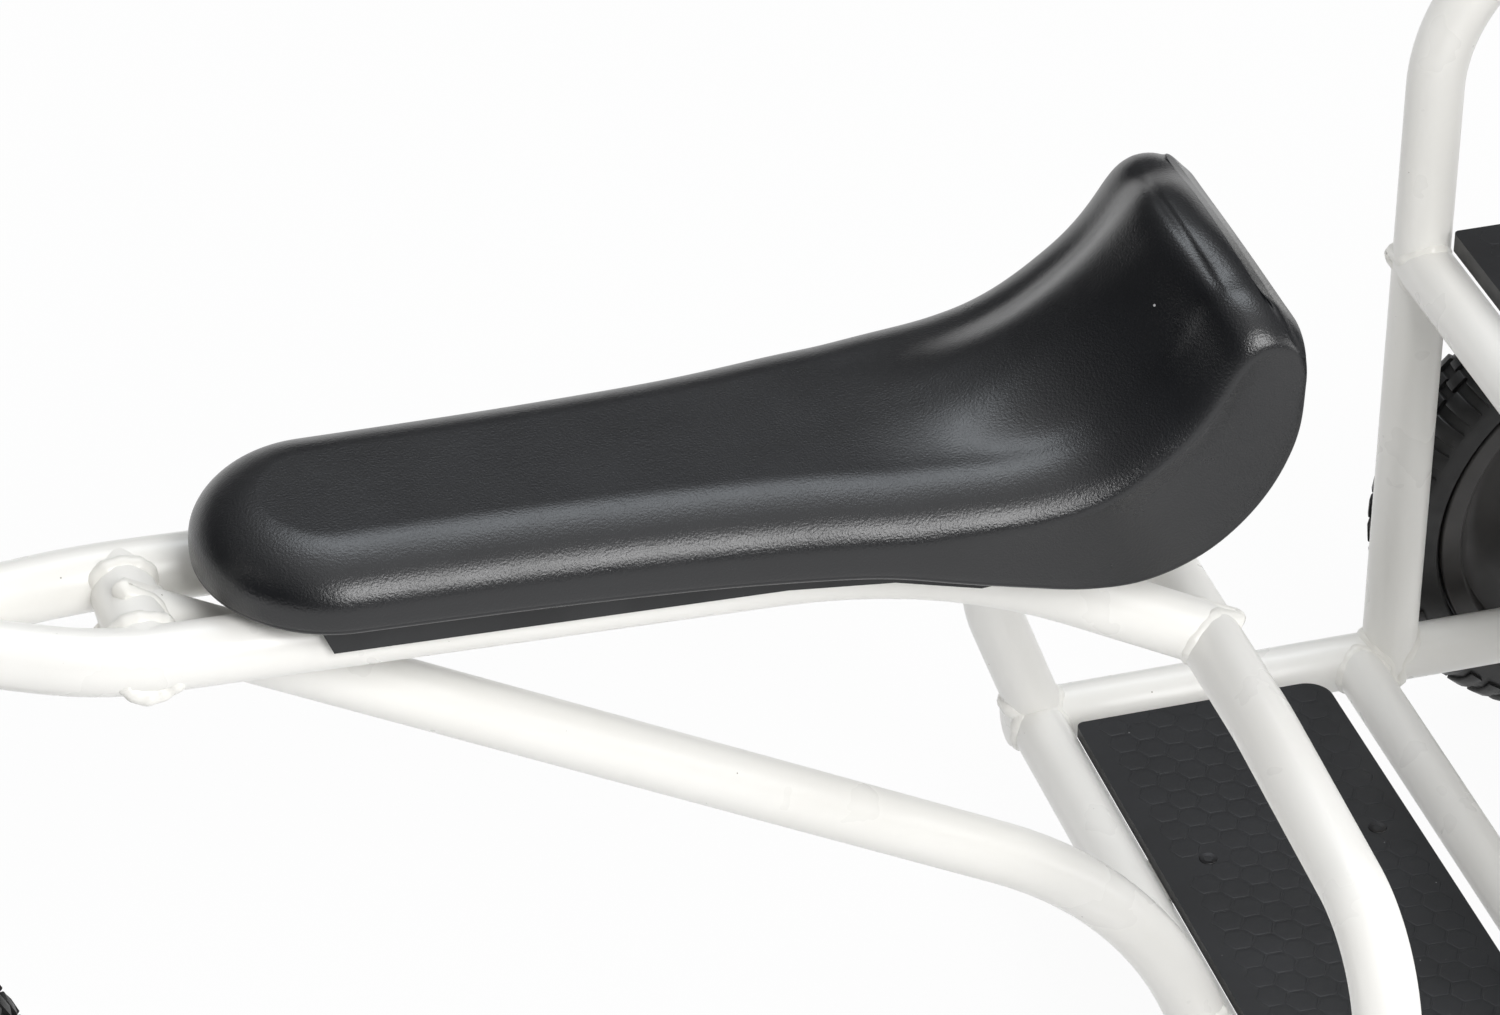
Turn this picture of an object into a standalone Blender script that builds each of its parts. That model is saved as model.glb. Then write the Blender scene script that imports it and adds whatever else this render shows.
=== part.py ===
"""A three-seat tricycle: tube frame, saddle, foot platform, passengers' bench, wheels, steering and pedals.

Metres. X runs to the rear, Y to the rider's right, Z up from the ground. Places along the length are measured
from a datum under the saddle, and the whole tricycle hangs on one empty that centres its length on X = 0.
"""

import math

import bmesh
import bpy
from mathutils import Matrix, Vector

# Fits and facets
GAP = 0.0003
RUNNING_GAP = 0.0005
TUBE_SIDES = 14
THIN_TUBE_SIDES = 12
BEND_STEP = math.radians(12)
WHEEL_STEPS = 32
SMALL_TURN_STEPS = 18
SMOOTH_ANGLE = math.radians(40)

# Tubes
TUBE_RADIUS = 0.014
CROSS_TUBE_RADIUS = 0.0125

# Saddle rails, seen from the side
RAIL_Y = 0.032
RAIL_BEND_X = 0.0731
RAIL_BEND_Z = 0.402
RAIL_BEND_RADIUS = 0.300
RAIL_RISE = 0.0325
RAIL_CURL_X = -0.2829
RAIL_CURL_RADIUS = 0.150
RAIL_PINCH_X = -0.3429
RAIL_PINCH_Y = 0.0128
RAIL_PINCH_SHARE = 0.377
RAIL_HEAD_Y = 0.0072
RAIL_HEAD_DROP = 0.0444
RAIL_CROSS_X = -0.264

# Grab hoop of the passengers
HOOP_X = 0.197
HOOP_TOP_Z = 0.3345
HOOP_HALF_WIDTH = 0.252
HOOP_LEVEL_Y = 0.100
HOOP_DROOP = 0.0133
HOOP_LEVEL_RADIUS = 0.200
HOOP_CORNER_RADIUS = 0.055
HOOP_KNEE_Z = 0.160
HOOP_KNEE_RADIUS = 0.080

# Foot platform
PLATFORM_Z = 0.084
PLATFORM_FRONT_X = 0.2225
PLATFORM_REAR_X = 0.3948
SIDE_TUBE_END_X = 0.662
FOOT_BOARD_THICKNESS = 0.0065
FOOT_BOARD_PROUD = 0.002
FOOT_BOARD_FRONT_GAP = 0.001
FOOT_BOARD_REAR_GAP = 0.0168
FOOT_BOARD_SIDE_GAP = 0.017
FOOT_BOARD_TOP_Z = PLATFORM_Z + TUBE_RADIUS + FOOT_BOARD_PROUD
FOOT_BOARD_REAR_X = PLATFORM_REAR_X - CROSS_TUBE_RADIUS - FOOT_BOARD_REAR_GAP
FOOT_BOARD_HALF_WIDTH = HOOP_HALF_WIDTH - TUBE_RADIUS - FOOT_BOARD_SIDE_GAP
FOOT_BOARD_FRONT_CORNER = 0.004
FOOT_BOARD_REAR_CORNER = 0.013
STRIP_WIDTH = 0.030
STRIP_THICKNESS = 0.004
FOOT_STRIP_Y = 0.0995
FOOT_STRIP_SETBACK = 0.0075

# Down tube
DOWN_TUBE_BEND_X = 0.1900
DOWN_TUBE_BEND_Z = 0.1690
DOWN_TUBE_BEND_RADIUS = 0.210
DOWN_TUBE_FOOT_X = 0.2190

# Side loops and bench
UPRIGHT_X = 0.414
ARMREST_Z = 0.503
LOOP_BEND_RADIUS = 0.086
REAR_LEG_FOOT_X = 0.640
REAR_LEG_LEAN = math.radians(8.4)
BENCH_TUBE_TOP_Z = 0.334
BENCH_BOARD_THICKNESS = 0.010
BENCH_BOARD_SETBACK = 0.0085
BENCH_BOARD_REAR_GAP = 0.020
BENCH_BOARD_HALF_WIDTH = HOOP_HALF_WIDTH - TUBE_RADIUS - 0.0015
BENCH_BOARD_CORNER = 0.012
BENCH_STRIP_Y = 0.080
BACK_TUBE_Z = 0.400
BACK_STRIP_Y = 0.120
BACK_STRIP_BOTTOM_Z = 0.306
BACK_STRIP_TOP_Z = 0.470
BACK_BOARD_BOTTOM_Z = 0.365
BACK_BOARD_TOP_Z = 0.478
BACK_BOARD_HALF_WIDTH = HOOP_HALF_WIDTH - TUBE_RADIUS - 0.004
BACK_BOARD_CORNER = 0.020

# Rear axle and wheels
REAR_AXLE_X = 0.551
REAR_WHEEL_RADIUS = 0.128
TYRE_DEPTH = 0.034
REAR_BEAD_RADIUS = REAR_WHEEL_RADIUS - TYRE_DEPTH
TYRE_HALF_WIDTH = 0.025
TYRE_SIDE_CLEARANCE = 0.009
REAR_WHEEL_Y = HOOP_HALF_WIDTH + TUBE_RADIUS + TYRE_HALF_WIDTH + TYRE_SIDE_CLEARANCE
AXLE_RADIUS = 0.006
HUB_BUSH_RADIUS = 0.010
HUB_RADIUS = 0.019
HUB_HALF_LENGTH = 0.027
AXLE_TUBE_RADIUS = 0.014
BRACKET_THICKNESS = 0.006
BRACKET_HEAD_RADIUS = 0.022
BRACKET_HALF_BASE = 0.048
AXLE_NUT_LENGTH = 0.012
AXLE_NUT_RADIUS = 0.011

# Front wheel, cranks and pedals
FRONT_AXLE_X = -0.4684
FRONT_WHEEL_RADIUS = 0.155
FRONT_BEAD_RADIUS = FRONT_WHEEL_RADIUS - TYRE_DEPTH
FRONT_HUB_HALF_LENGTH = 0.033
CRANK_AXLE_RADIUS = 0.0085
CRANK_LENGTH = 0.100
CRANK_THICKNESS = 0.010
CRANK_SIDE_CLEARANCE = 0.029
CRANK_INNER_Y = FRONT_HUB_HALF_LENGTH + CRANK_SIDE_CLEARANCE
SPINDLE_RADIUS = 0.0045
SPINDLE_HEAD_RADIUS = 0.0075
SPINDLE_HEAD_LENGTH = 0.004
PEDAL_LENGTH = 0.078
PEDAL_WIDTH = 0.062
PEDAL_THICKNESS = 0.022
PEDAL_CLEARANCE = 0.003

# Steering, measured along its own axis from the point level with the front axle
HEAD_LEAN = math.radians(10)
RAKE = 0.012
FORK_SIDE_CLEARANCE = 0.015
FORK_HALF_WIDTH = FRONT_HUB_HALF_LENGTH + FORK_SIDE_CLEARANCE
FORK_LEG_RADIUS = 0.011
FORK_KNEE_HEIGHT = 0.095
FORK_KNEE_RADIUS = 0.150
FORK_END_RADIUS = 0.022
FORK_END_WIDTH = 0.014
BEARING_RADIUS = 0.0175
CROWN_CLEARANCE = 0.017
CROWN_BOTTOM = FRONT_WHEEL_RADIUS + CROWN_CLEARANCE
CROWN_HEIGHT = 0.026
CROWN_HALF_DEPTH = 0.018
CROWN_END_INSET = 0.002
CUP_HEIGHT = 0.012
CUP_RADIUS = 0.0235
HEAD_TUBE_LENGTH = 0.120
HEAD_TUBE_RADIUS = 0.019
HEAD_TUBE_WALL = 0.003
STEERER_RADIUS = 0.0125
HEADSET_NUT_HEIGHT = 0.010
HEADSET_NUT_RADIUS = 0.021
STEM_HEIGHT = 0.105
STEM_RADIUS = 0.0105
STEM_REACH = 0.030
STEM_CLAMP_RADIUS = 0.016
STEM_CLAMP_HALF_WIDTH = 0.022
HANDLEBAR_RADIUS = 0.011
HANDLEBAR_HALF_WIDTH = 0.235
HANDLEBAR_RISE = 0.055
HANDLEBAR_SWEEP = 0.026
GRIP_LENGTH = 0.092
GRIP_RADIUS = 0.015
GRIP_FLANGE_RADIUS = 0.020

# Saddle: heights are above the ground
SADDLE_NOSE_X = -0.240
SADDLE_HALF_WIDTH = 0.058
SADDLE_TAIL_HALF_WIDTH = 0.0776
SADDLE_TOP_Z = 0.4565
SADDLE_FAN_X = 0.060
SADDLE_FLARE_START = 0.119
SADDLE_FLARE_END = 0.465
SADDLE_TAIL_CORNER = 0.019
SADDLE_EDGE_HEIGHT = 0.0345
SADDLE_RIM_INSET = 0.45
SADDLE_PLATE_THICKNESS = 0.0033
SADDLE_PLATE_WALL = 0.003
SADDLE_PLATE_SIDE_GAP = 0.001
SADDLE_PLATE_HALF_WIDTH = RAIL_Y + TUBE_RADIUS + SADDLE_PLATE_SIDE_GAP + SADDLE_PLATE_WALL
SADDLE_PLATE_FRONT_X = -0.197
SADDLE_PLATE_REAR_X = 0.112
SADDLE_PLATE_HANG = 0.0032
SADDLE_PLATE_NOSE_CUT = 0.0065
SADDLE_PLATE_TAIL_CUT = 0.026
SADDLE_CLAMP_XS = (-0.140, -0.030)
SADDLE_CLAMP_LENGTH = 0.024
SADDLE_CLAMP_THICKNESS = 0.003
SADDLE_CLAMP_INSET = 0.002
SADDLE_CLAMP_HALF_WIDTH = RAIL_Y - SADDLE_CLAMP_INSET

# Finishes: colour, roughness, metallic
FINISHES = {
    "powder_coat": ((0.86, 0.85, 0.82, 1.0), 0.28, 0.0),
    "saddle_foam": ((0.018, 0.019, 0.022, 1.0), 0.42, 0.0),
    "black_plastic": ((0.020, 0.020, 0.022, 1.0), 0.50, 0.0),
    "film_faced_board": ((0.030, 0.032, 0.036, 1.0), 0.55, 0.0),
    "tyre_rubber": ((0.015, 0.015, 0.015, 1.0), 0.80, 0.0),
    "zinc_steel": ((0.62, 0.63, 0.64, 1.0), 0.32, 1.0),
    "rim_plastic": ((0.040, 0.037, 0.035, 1.0), 0.40, 0.0),
}


def clear_scene():
    for obj in list(bpy.data.objects):
        bpy.data.objects.remove(obj, do_unlink=True)


def make_collections():
    """One collection for the tricycle's pieces and one for the cutters."""
    found = []
    for name in ("three_seat_tricycle", "cutters"):
        collection = bpy.data.collections.new(name)
        bpy.context.scene.collection.children.link(collection)
        found.append(collection)
    return found


def make_material(name, colour, roughness, metallic):
    material = bpy.data.materials.new(name)
    material.use_nodes = True
    shader = material.node_tree.nodes["Principled BSDF"]
    shader.inputs["Base Color"].default_value = colour
    shader.inputs["Roughness"].default_value = roughness
    shader.inputs["Metallic"].default_value = metallic
    material.diffuse_color = colour
    return material


clear_scene()
PARTS, CUTTERS = make_collections()
MATERIALS = {name: make_material(name, *values) for name, values in FINISHES.items()}


# Small helpers for objects and their modifiers


def add_empty(name, parent, location, lean=0.0):
    empty = bpy.data.objects.new(name, None)
    PARTS.objects.link(empty)
    empty.parent = parent
    empty.location = location
    empty.rotation_euler = (0.0, lean, 0.0)
    return empty


def add_piece(name, mesh, finish, parent, location=(0, 0, 0), rotation=(0, 0, 0)):
    """A visible piece with its finish, shaded smooth across its shallow edges."""
    mesh.name = name
    mesh.materials.clear()
    mesh.materials.append(MATERIALS[finish])
    mesh.shade_smooth()
    mesh.set_sharp_from_angle(angle=SMOOTH_ANGLE)
    piece = bpy.data.objects.new(name, mesh)
    PARTS.objects.link(piece)
    piece.parent = parent
    piece.location = location
    piece.rotation_euler = rotation
    return piece


def add_cutter(name, mesh, parent, location=(0, 0, 0), rotation=(0, 0, 0)):
    cutter = bpy.data.objects.new(name, mesh)
    CUTTERS.objects.link(cutter)
    cutter.hide_render = True
    cutter.display_type = "WIRE"
    cutter.parent = parent
    cutter.location = location
    cutter.rotation_euler = rotation
    return cutter


def boolean(piece, other, operation="DIFFERENCE"):
    modifier = piece.modifiers.new(operation.lower() + "_" + other.name, "BOOLEAN")
    modifier.operation = operation
    modifier.solver = "EXACT"
    modifier.object = other


def bevel(piece, width, segments=2, angle=math.radians(35)):
    modifier = piece.modifiers.new("rounded_edges", "BEVEL")
    modifier.width = width
    modifier.segments = segments
    modifier.limit_method = "ANGLE"
    modifier.angle_limit = angle


def rounded_path(corners, radii):
    """Points along straight runs through the corners, with an arc of the given radius at each inner corner."""
    corners = [Vector(corner) for corner in corners]
    points = [corners[0]]
    for before, corner, after, radius in zip(corners, corners[1:], corners[2:], radii):
        arrive = (corner - before).normalized()
        leave = (after - corner).normalized()
        turn = arrive.angle(leave)
        start = corner - arrive * radius * math.tan(turn / 2)
        centre = corner + (leave - arrive).normalized() * (radius / math.cos(turn / 2))
        axis = arrive.cross(leave).normalized()
        pieces = max(1, math.ceil(turn / BEND_STEP))
        for i in range(pieces + 1):
            points.append(centre + Matrix.Rotation(turn * i / pieces, 3, axis) @ (start - centre))
    points.append(corners[-1])
    return points


def mirrored(points):
    return [Vector((point.x, -point.y, point.z)) for point in points]


def tube_mesh(points, radius, sides=TUBE_SIDES):
    """A closed round bar along the points, swept as a curve and made a mesh with welded end caps."""
    curve = bpy.data.curves.new("sweep", "CURVE")
    curve.dimensions = "3D"
    curve.bevel_depth = radius
    curve.bevel_resolution = (sides - 4) // 2
    curve.use_fill_caps = True
    spline = curve.splines.new("POLY")
    spline.points.add(len(points) - 1)
    for spot, point in zip(spline.points, points):
        spot.co = (*point, 1.0)
    guide = bpy.data.objects.new("sweep", curve)
    CUTTERS.objects.link(guide)
    graph = bpy.context.evaluated_depsgraph_get()
    mesh = bpy.data.meshes.new_from_object(guide.evaluated_get(graph))
    bpy.data.objects.remove(guide)
    bpy.data.curves.remove(curve)
    shape = bmesh.new()
    shape.from_mesh(mesh)
    bmesh.ops.remove_doubles(shape, verts=shape.verts, dist=1e-6)
    bmesh.ops.recalc_face_normals(shape, faces=shape.faces)
    shape.to_mesh(mesh)
    shape.free()
    return mesh


def add_tube(name, points, radius, finish, parent, sides=TUBE_SIDES):
    return add_piece(name, tube_mesh(points, radius, sides), finish, parent)


def cope(piece, name, points, radius, parent):
    """Cuts the piece's end to the wall of the tube it is welded to, a hair's breadth clear of it."""
    first = points[0] + (points[0] - points[1]).normalized() * GAP
    last = points[-1] + (points[-1] - points[-2]).normalized() * GAP
    mesh = tube_mesh([first, *points[1:-1], last], radius + GAP)
    boolean(piece, add_cutter(f"{piece.name}_cope_{name}", mesh, parent))


def turned_mesh(profile, steps, closed):
    """A turned shape about Z: profile is (radius, height) pairs that run down its outer side."""
    mesh = bpy.data.meshes.new("turned")
    edges = [(i, i + 1) for i in range(len(profile) - 1)]
    if closed:
        edges.append((len(profile) - 1, 0))
    mesh.from_pydata([(radius, 0.0, height) for radius, height in profile], edges, [])
    holder = bpy.data.objects.new("turned", mesh)
    CUTTERS.objects.link(holder)
    screw = holder.modifiers.new("turn", "SCREW")
    screw.steps = screw.render_steps = steps
    screw.use_merge_vertices = True
    screw.merge_threshold = 1e-6
    screw.use_normal_calculate = False
    graph = bpy.context.evaluated_depsgraph_get()
    result = bpy.data.meshes.new_from_object(holder.evaluated_get(graph))
    bpy.data.objects.remove(holder)
    bpy.data.meshes.remove(mesh)
    return result


def ring_profile(inner, outer, bottom, top):
    return [(inner, top), (outer, top), (outer, bottom), (inner, bottom)]


def rod_profile(radius, bottom, top):
    return [(0.0, top), (radius, top), (radius, bottom), (0.0, bottom)]


def plate_mesh(outline, thickness):
    """A flat plate in XY from an outline, centred on Z = 0."""
    curve = bpy.data.curves.new("plate", "CURVE")
    curve.dimensions = "2D"
    curve.fill_mode = "BOTH"
    curve.extrude = thickness / 2
    spline = curve.splines.new("POLY")
    spline.points.add(len(outline) - 1)
    for spot, (x, y) in zip(spline.points, outline):
        spot.co = (x, y, 0.0, 1.0)
    spline.use_cyclic_u = True
    guide = bpy.data.objects.new("plate", curve)
    CUTTERS.objects.link(guide)
    graph = bpy.context.evaluated_depsgraph_get()
    mesh = bpy.data.meshes.new_from_object(guide.evaluated_get(graph))
    bpy.data.objects.remove(guide)
    bpy.data.curves.remove(curve)
    shape = bmesh.new()
    shape.from_mesh(mesh)
    bmesh.ops.remove_doubles(shape, verts=shape.verts, dist=1e-6)
    bmesh.ops.recalc_face_normals(shape, faces=shape.faces)
    shape.to_mesh(mesh)
    shape.free()
    return mesh


def arc_points(centre, radius, start, end, pieces):
    """Points on an arc from one angle to another, in degrees."""
    found = []
    for i in range(pieces + 1):
        angle = math.radians(start + (end - start) * i / pieces)
        found.append((centre[0] + radius * math.cos(angle), centre[1] + radius * math.sin(angle)))
    return found


def rounded_rectangle(low, high, radii, pieces=4):
    """An outline with its own corner radius at each corner, from the low corner round to the right."""
    (x0, y0), (x1, y1) = low, high
    a, b, c, d = radii
    return (
        arc_points((x0 + a, y0 + a), a, 180, 270, pieces)
        + arc_points((x1 - b, y0 + b), b, 270, 360, pieces)
        + arc_points((x1 - c, y1 - c), c, 0, 90, pieces)
        + arc_points((x0 + d, y1 - d), d, 90, 180, pieces)
    )


def box_mesh(size):
    mesh = bpy.data.meshes.new("box")
    shape = bmesh.new()
    bmesh.ops.create_cube(shape, size=1.0, matrix=Matrix.Diagonal((*size, 1.0)))
    shape.to_mesh(mesh)
    shape.free()
    return mesh


# Routes of the frame's tubes, worked out once because each tube's ends are coped to its neighbours


def head_point(height, forward=0.0):
    """A point on the steering axis at this distance up it, or forward of it, in the datum's frame."""
    up = Vector((math.sin(HEAD_LEAN), 0.0, math.cos(HEAD_LEAN)))
    ahead = Vector((-math.cos(HEAD_LEAN), 0.0, math.sin(HEAD_LEAN)))
    axle = Vector((FRONT_AXLE_X, 0.0, FRONT_WHEEL_RADIUS))
    return axle - ahead * RAKE + up * height + ahead * forward


def rail_straight_z(x):
    """Height of a rail's centre on the stretch under the saddle."""
    return RAIL_BEND_Z + RAIL_RISE * (RAIL_BEND_X - x)


def rail_head_point():
    """Where the rails' centres meet the steering axis, level with a point on the head tube's upper half."""
    head_top = CROWN_BOTTOM + CROWN_HEIGHT + CUP_HEIGHT + 2 * GAP + HEAD_TUBE_LENGTH
    return head_point(head_top - RAIL_HEAD_DROP)


def rail_route():
    curl_z = rail_straight_z(RAIL_CURL_X)
    head = rail_head_point()
    corners = [
        (HOOP_X, RAIL_Y, HOOP_TOP_Z),
        (RAIL_BEND_X, RAIL_Y, RAIL_BEND_Z),
        (RAIL_CURL_X, RAIL_Y, curl_z),
        (RAIL_PINCH_X, RAIL_PINCH_Y, curl_z + RAIL_PINCH_SHARE * (head.z - curl_z)),
        (head.x, RAIL_HEAD_Y, head.z),
    ]
    return rounded_path(corners, (RAIL_BEND_RADIUS, RAIL_CURL_RADIUS, RAIL_CURL_RADIUS))


def hoop_route():
    foot_x = PLATFORM_FRONT_X + 0.25 * TUBE_RADIUS
    half = [
        (HOOP_X, HOOP_LEVEL_Y, HOOP_TOP_Z),
        (HOOP_X, HOOP_HALF_WIDTH, HOOP_TOP_Z - HOOP_DROOP),
        (HOOP_X, HOOP_HALF_WIDTH, HOOP_KNEE_Z),
        (foot_x, HOOP_HALF_WIDTH, PLATFORM_Z),
    ]
    left = [(x, -y, z) for x, y, z in reversed(half)]
    radii = (HOOP_LEVEL_RADIUS, HOOP_CORNER_RADIUS, HOOP_KNEE_RADIUS)
    return rounded_path(left + half, radii[::-1] + radii)


def loop_route():
    """The side loop on the right: upright, armrest and leaning rear leg."""
    lean = math.tan(REAR_LEG_LEAN)
    corners = [
        (UPRIGHT_X, HOOP_HALF_WIDTH, PLATFORM_Z),
        (UPRIGHT_X, HOOP_HALF_WIDTH, ARMREST_Z),
        (REAR_LEG_FOOT_X + lean * (ARMREST_Z - PLATFORM_Z), HOOP_HALF_WIDTH, ARMREST_Z),
        (REAR_LEG_FOOT_X, HOOP_HALF_WIDTH, PLATFORM_Z),
    ]
    return rounded_path(corners, (LOOP_BEND_RADIUS, LOOP_BEND_RADIUS))


def down_tube_route():
    corners = [
        (RAIL_CROSS_X, 0.0, rail_straight_z(RAIL_CROSS_X)),
        (DOWN_TUBE_BEND_X, 0.0, DOWN_TUBE_BEND_Z),
        (DOWN_TUBE_FOOT_X, 0.0, PLATFORM_Z),
    ]
    return rounded_path(corners, (DOWN_TUBE_BEND_RADIUS,))


def side_tube_route():
    front = PLATFORM_FRONT_X - TUBE_RADIUS
    return [Vector((front, HOOP_HALF_WIDTH, PLATFORM_Z)), Vector((SIDE_TUBE_END_X, HOOP_HALF_WIDTH, PLATFORM_Z))]


def cross_route(x, z, half_width):
    return [Vector((x, -half_width, z)), Vector((x, half_width, z))]


def rear_leg_x(z):
    return REAR_LEG_FOOT_X + math.tan(REAR_LEG_LEAN) * (z - PLATFORM_Z)


RAIL = rail_route()
HOOP = hoop_route()
LOOP = loop_route()
DOWN_TUBE = down_tube_route()
SIDE_TUBE = side_tube_route()
RAIL_CROSS = cross_route(RAIL_CROSS_X, rail_straight_z(RAIL_CROSS_X), RAIL_Y)
PLATFORM_FRONT = cross_route(PLATFORM_FRONT_X, PLATFORM_Z, HOOP_HALF_WIDTH)
PLATFORM_REAR = cross_route(PLATFORM_REAR_X, PLATFORM_Z, HOOP_HALF_WIDTH)
BENCH_REAR_Z = BENCH_TUBE_TOP_Z - CROSS_TUBE_RADIUS
BENCH_FRONT = cross_route(UPRIGHT_X, BENCH_TUBE_TOP_Z - TUBE_RADIUS, HOOP_HALF_WIDTH)
BENCH_REAR = cross_route(rear_leg_x(BENCH_REAR_Z), BENCH_REAR_Z, HOOP_HALF_WIDTH)
BACK_TUBE = cross_route(rear_leg_x(BACK_TUBE_Z), BACK_TUBE_Z, HOOP_HALF_WIDTH)
SIDES = (("left", -1), ("right", 1))


def on_side(points, sign):
    return points if sign > 0 else mirrored(points)


def length_middle():
    """The middle of the tricycle's length, from the front tyre to the back of the side loops."""
    front = FRONT_AXLE_X - FRONT_WHEEL_RADIUS
    rear = max(max(point.x for point in LOOP) + TUBE_RADIUS, REAR_AXLE_X + REAR_WHEEL_RADIUS)
    return (front + rear) / 2


TRICYCLE = add_empty("tricycle", None, (-length_middle(), 0.0, 0.0))


# Frame


def build_head_tube():
    bottom = CROWN_BOTTOM + CROWN_HEIGHT + CUP_HEIGHT + 2 * GAP
    top = bottom + HEAD_TUBE_LENGTH
    foot = head_point(0.0)
    lean = (0.0, HEAD_LEAN, 0.0)
    profile = ring_profile(HEAD_TUBE_RADIUS - HEAD_TUBE_WALL, HEAD_TUBE_RADIUS, bottom, top)
    mesh = turned_mesh(profile, SMALL_TURN_STEPS, closed=True)
    add_piece("head_tube", mesh, "powder_coat", TRICYCLE, foot, lean)
    for name, low in (("lower", bottom - CUP_HEIGHT - GAP), ("upper", top + GAP)):
        cup = bearing_cup_profile(low, flip=name == "upper")
        mesh = turned_mesh(cup, SMALL_TURN_STEPS, closed=True)
        add_piece(f"head_bearing_{name}", mesh, "zinc_steel", TRICYCLE, foot, lean)


def bearing_cup_profile(low, flip):
    """A headset bearing: a collar against the head tube that narrows away from it."""
    inner = STEERER_RADIUS + RUNNING_GAP
    collar = 0.6 * CUP_HEIGHT
    narrow = 0.82 * CUP_RADIUS
    if flip:
        return [
            (inner, low + CUP_HEIGHT),
            (narrow, low + CUP_HEIGHT),
            (CUP_RADIUS, low + collar),
            (CUP_RADIUS, low),
            (inner, low),
        ]
    return [
        (inner, low + CUP_HEIGHT),
        (CUP_RADIUS, low + CUP_HEIGHT),
        (CUP_RADIUS, low + CUP_HEIGHT - collar),
        (narrow, low),
        (inner, low),
    ]


def head_tube_cutter(name):
    profile = rod_profile(HEAD_TUBE_RADIUS + GAP, 0.0, 2 * CROWN_BOTTOM + HEAD_TUBE_LENGTH)
    mesh = turned_mesh(profile, SMALL_TURN_STEPS, closed=False)
    return add_cutter(name, mesh, TRICYCLE, head_point(0.0), (0.0, HEAD_LEAN, 0.0))


def build_rails():
    head = head_tube_cutter("head_tube_wall")
    for side, sign in SIDES:
        rail = add_tube(f"rail_{side}", on_side(RAIL, sign), TUBE_RADIUS, "powder_coat", TRICYCLE)
        cope(rail, "hoop", HOOP, TUBE_RADIUS, TRICYCLE)
        boolean(rail, head)
        width = 4 * TUBE_RADIUS
        middle = (rail_head_point().x, sign * (GAP / 2 - width / 2), rail_head_point().z)
        height = width + 2 * abs(middle[2] - rail_straight_z(RAIL_CURL_X))
        mitre = add_cutter(f"rail_{side}_mitre", box_mesh((3 * width, width, height)), TRICYCLE, middle)
        boolean(rail, mitre)
    cross = add_tube("rail_cross_tube", RAIL_CROSS, TUBE_RADIUS, "powder_coat", TRICYCLE)
    for side, sign in SIDES:
        cope(cross, f"rail_{side}", on_side(RAIL, sign), TUBE_RADIUS, TRICYCLE)


def build_down_tube():
    tube = add_tube("down_tube", DOWN_TUBE, TUBE_RADIUS, "powder_coat", TRICYCLE)
    cope(tube, "rail_cross", RAIL_CROSS, TUBE_RADIUS, TRICYCLE)
    cope(tube, "platform", PLATFORM_FRONT, TUBE_RADIUS, TRICYCLE)


def build_platform():
    for side, sign in SIDES:
        add_tube(f"platform_side_tube_{side}", on_side(SIDE_TUBE, sign), TUBE_RADIUS, "powder_coat", TRICYCLE)
    front = add_tube("platform_front_tube", PLATFORM_FRONT, TUBE_RADIUS, "powder_coat", TRICYCLE)
    rear = add_tube("platform_rear_tube", PLATFORM_REAR, CROSS_TUBE_RADIUS, "powder_coat", TRICYCLE)
    hoop = add_tube("grab_hoop", HOOP, TUBE_RADIUS, "powder_coat", TRICYCLE)
    for side, sign in SIDES:
        for piece in (front, rear, hoop):
            cope(piece, f"side_{side}", on_side(SIDE_TUBE, sign), TUBE_RADIUS, TRICYCLE)
    cope(hoop, "front", PLATFORM_FRONT, TUBE_RADIUS, TRICYCLE)


def build_foot_board():
    drop = FOOT_BOARD_TOP_Z - FOOT_BOARD_THICKNESS - PLATFORM_Z
    tube_reach = math.sqrt(max(0.0, TUBE_RADIUS**2 - drop**2))
    low = (PLATFORM_FRONT_X + tube_reach + FOOT_BOARD_FRONT_GAP, -FOOT_BOARD_HALF_WIDTH)
    high = (FOOT_BOARD_REAR_X, FOOT_BOARD_HALF_WIDTH)
    front, rear = FOOT_BOARD_FRONT_CORNER, FOOT_BOARD_REAR_CORNER
    outline = rounded_rectangle(low, high, (front, rear, rear, front))
    centre_z = FOOT_BOARD_TOP_Z - FOOT_BOARD_THICKNESS / 2
    mesh = plate_mesh(outline, FOOT_BOARD_THICKNESS)
    board = add_piece("foot_board", mesh, "film_faced_board", TRICYCLE, (0, 0, centre_z))
    bevel(board, 0.0007, segments=1)
    strip_z = FOOT_BOARD_TOP_Z - FOOT_BOARD_THICKNESS - GAP - STRIP_THICKNESS / 2
    strip_end = FOOT_BOARD_REAR_X - FOOT_STRIP_SETBACK
    middle_x = (PLATFORM_FRONT_X + strip_end) / 2
    size = (strip_end - PLATFORM_FRONT_X, STRIP_WIDTH, STRIP_THICKNESS)
    for side, sign in SIDES:
        place = (middle_x, sign * FOOT_STRIP_Y, strip_z)
        strip = add_piece(f"foot_strip_{side}", box_mesh(size), "powder_coat", TRICYCLE, place)
        cope(strip, "front", PLATFORM_FRONT, TUBE_RADIUS, TRICYCLE)


def build_side_loops():
    for side, sign in SIDES:
        loop = add_tube(f"side_loop_{side}", on_side(LOOP, sign), TUBE_RADIUS, "powder_coat", TRICYCLE)
        cope(loop, "side_tube", on_side(SIDE_TUBE, sign), TUBE_RADIUS, TRICYCLE)


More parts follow.
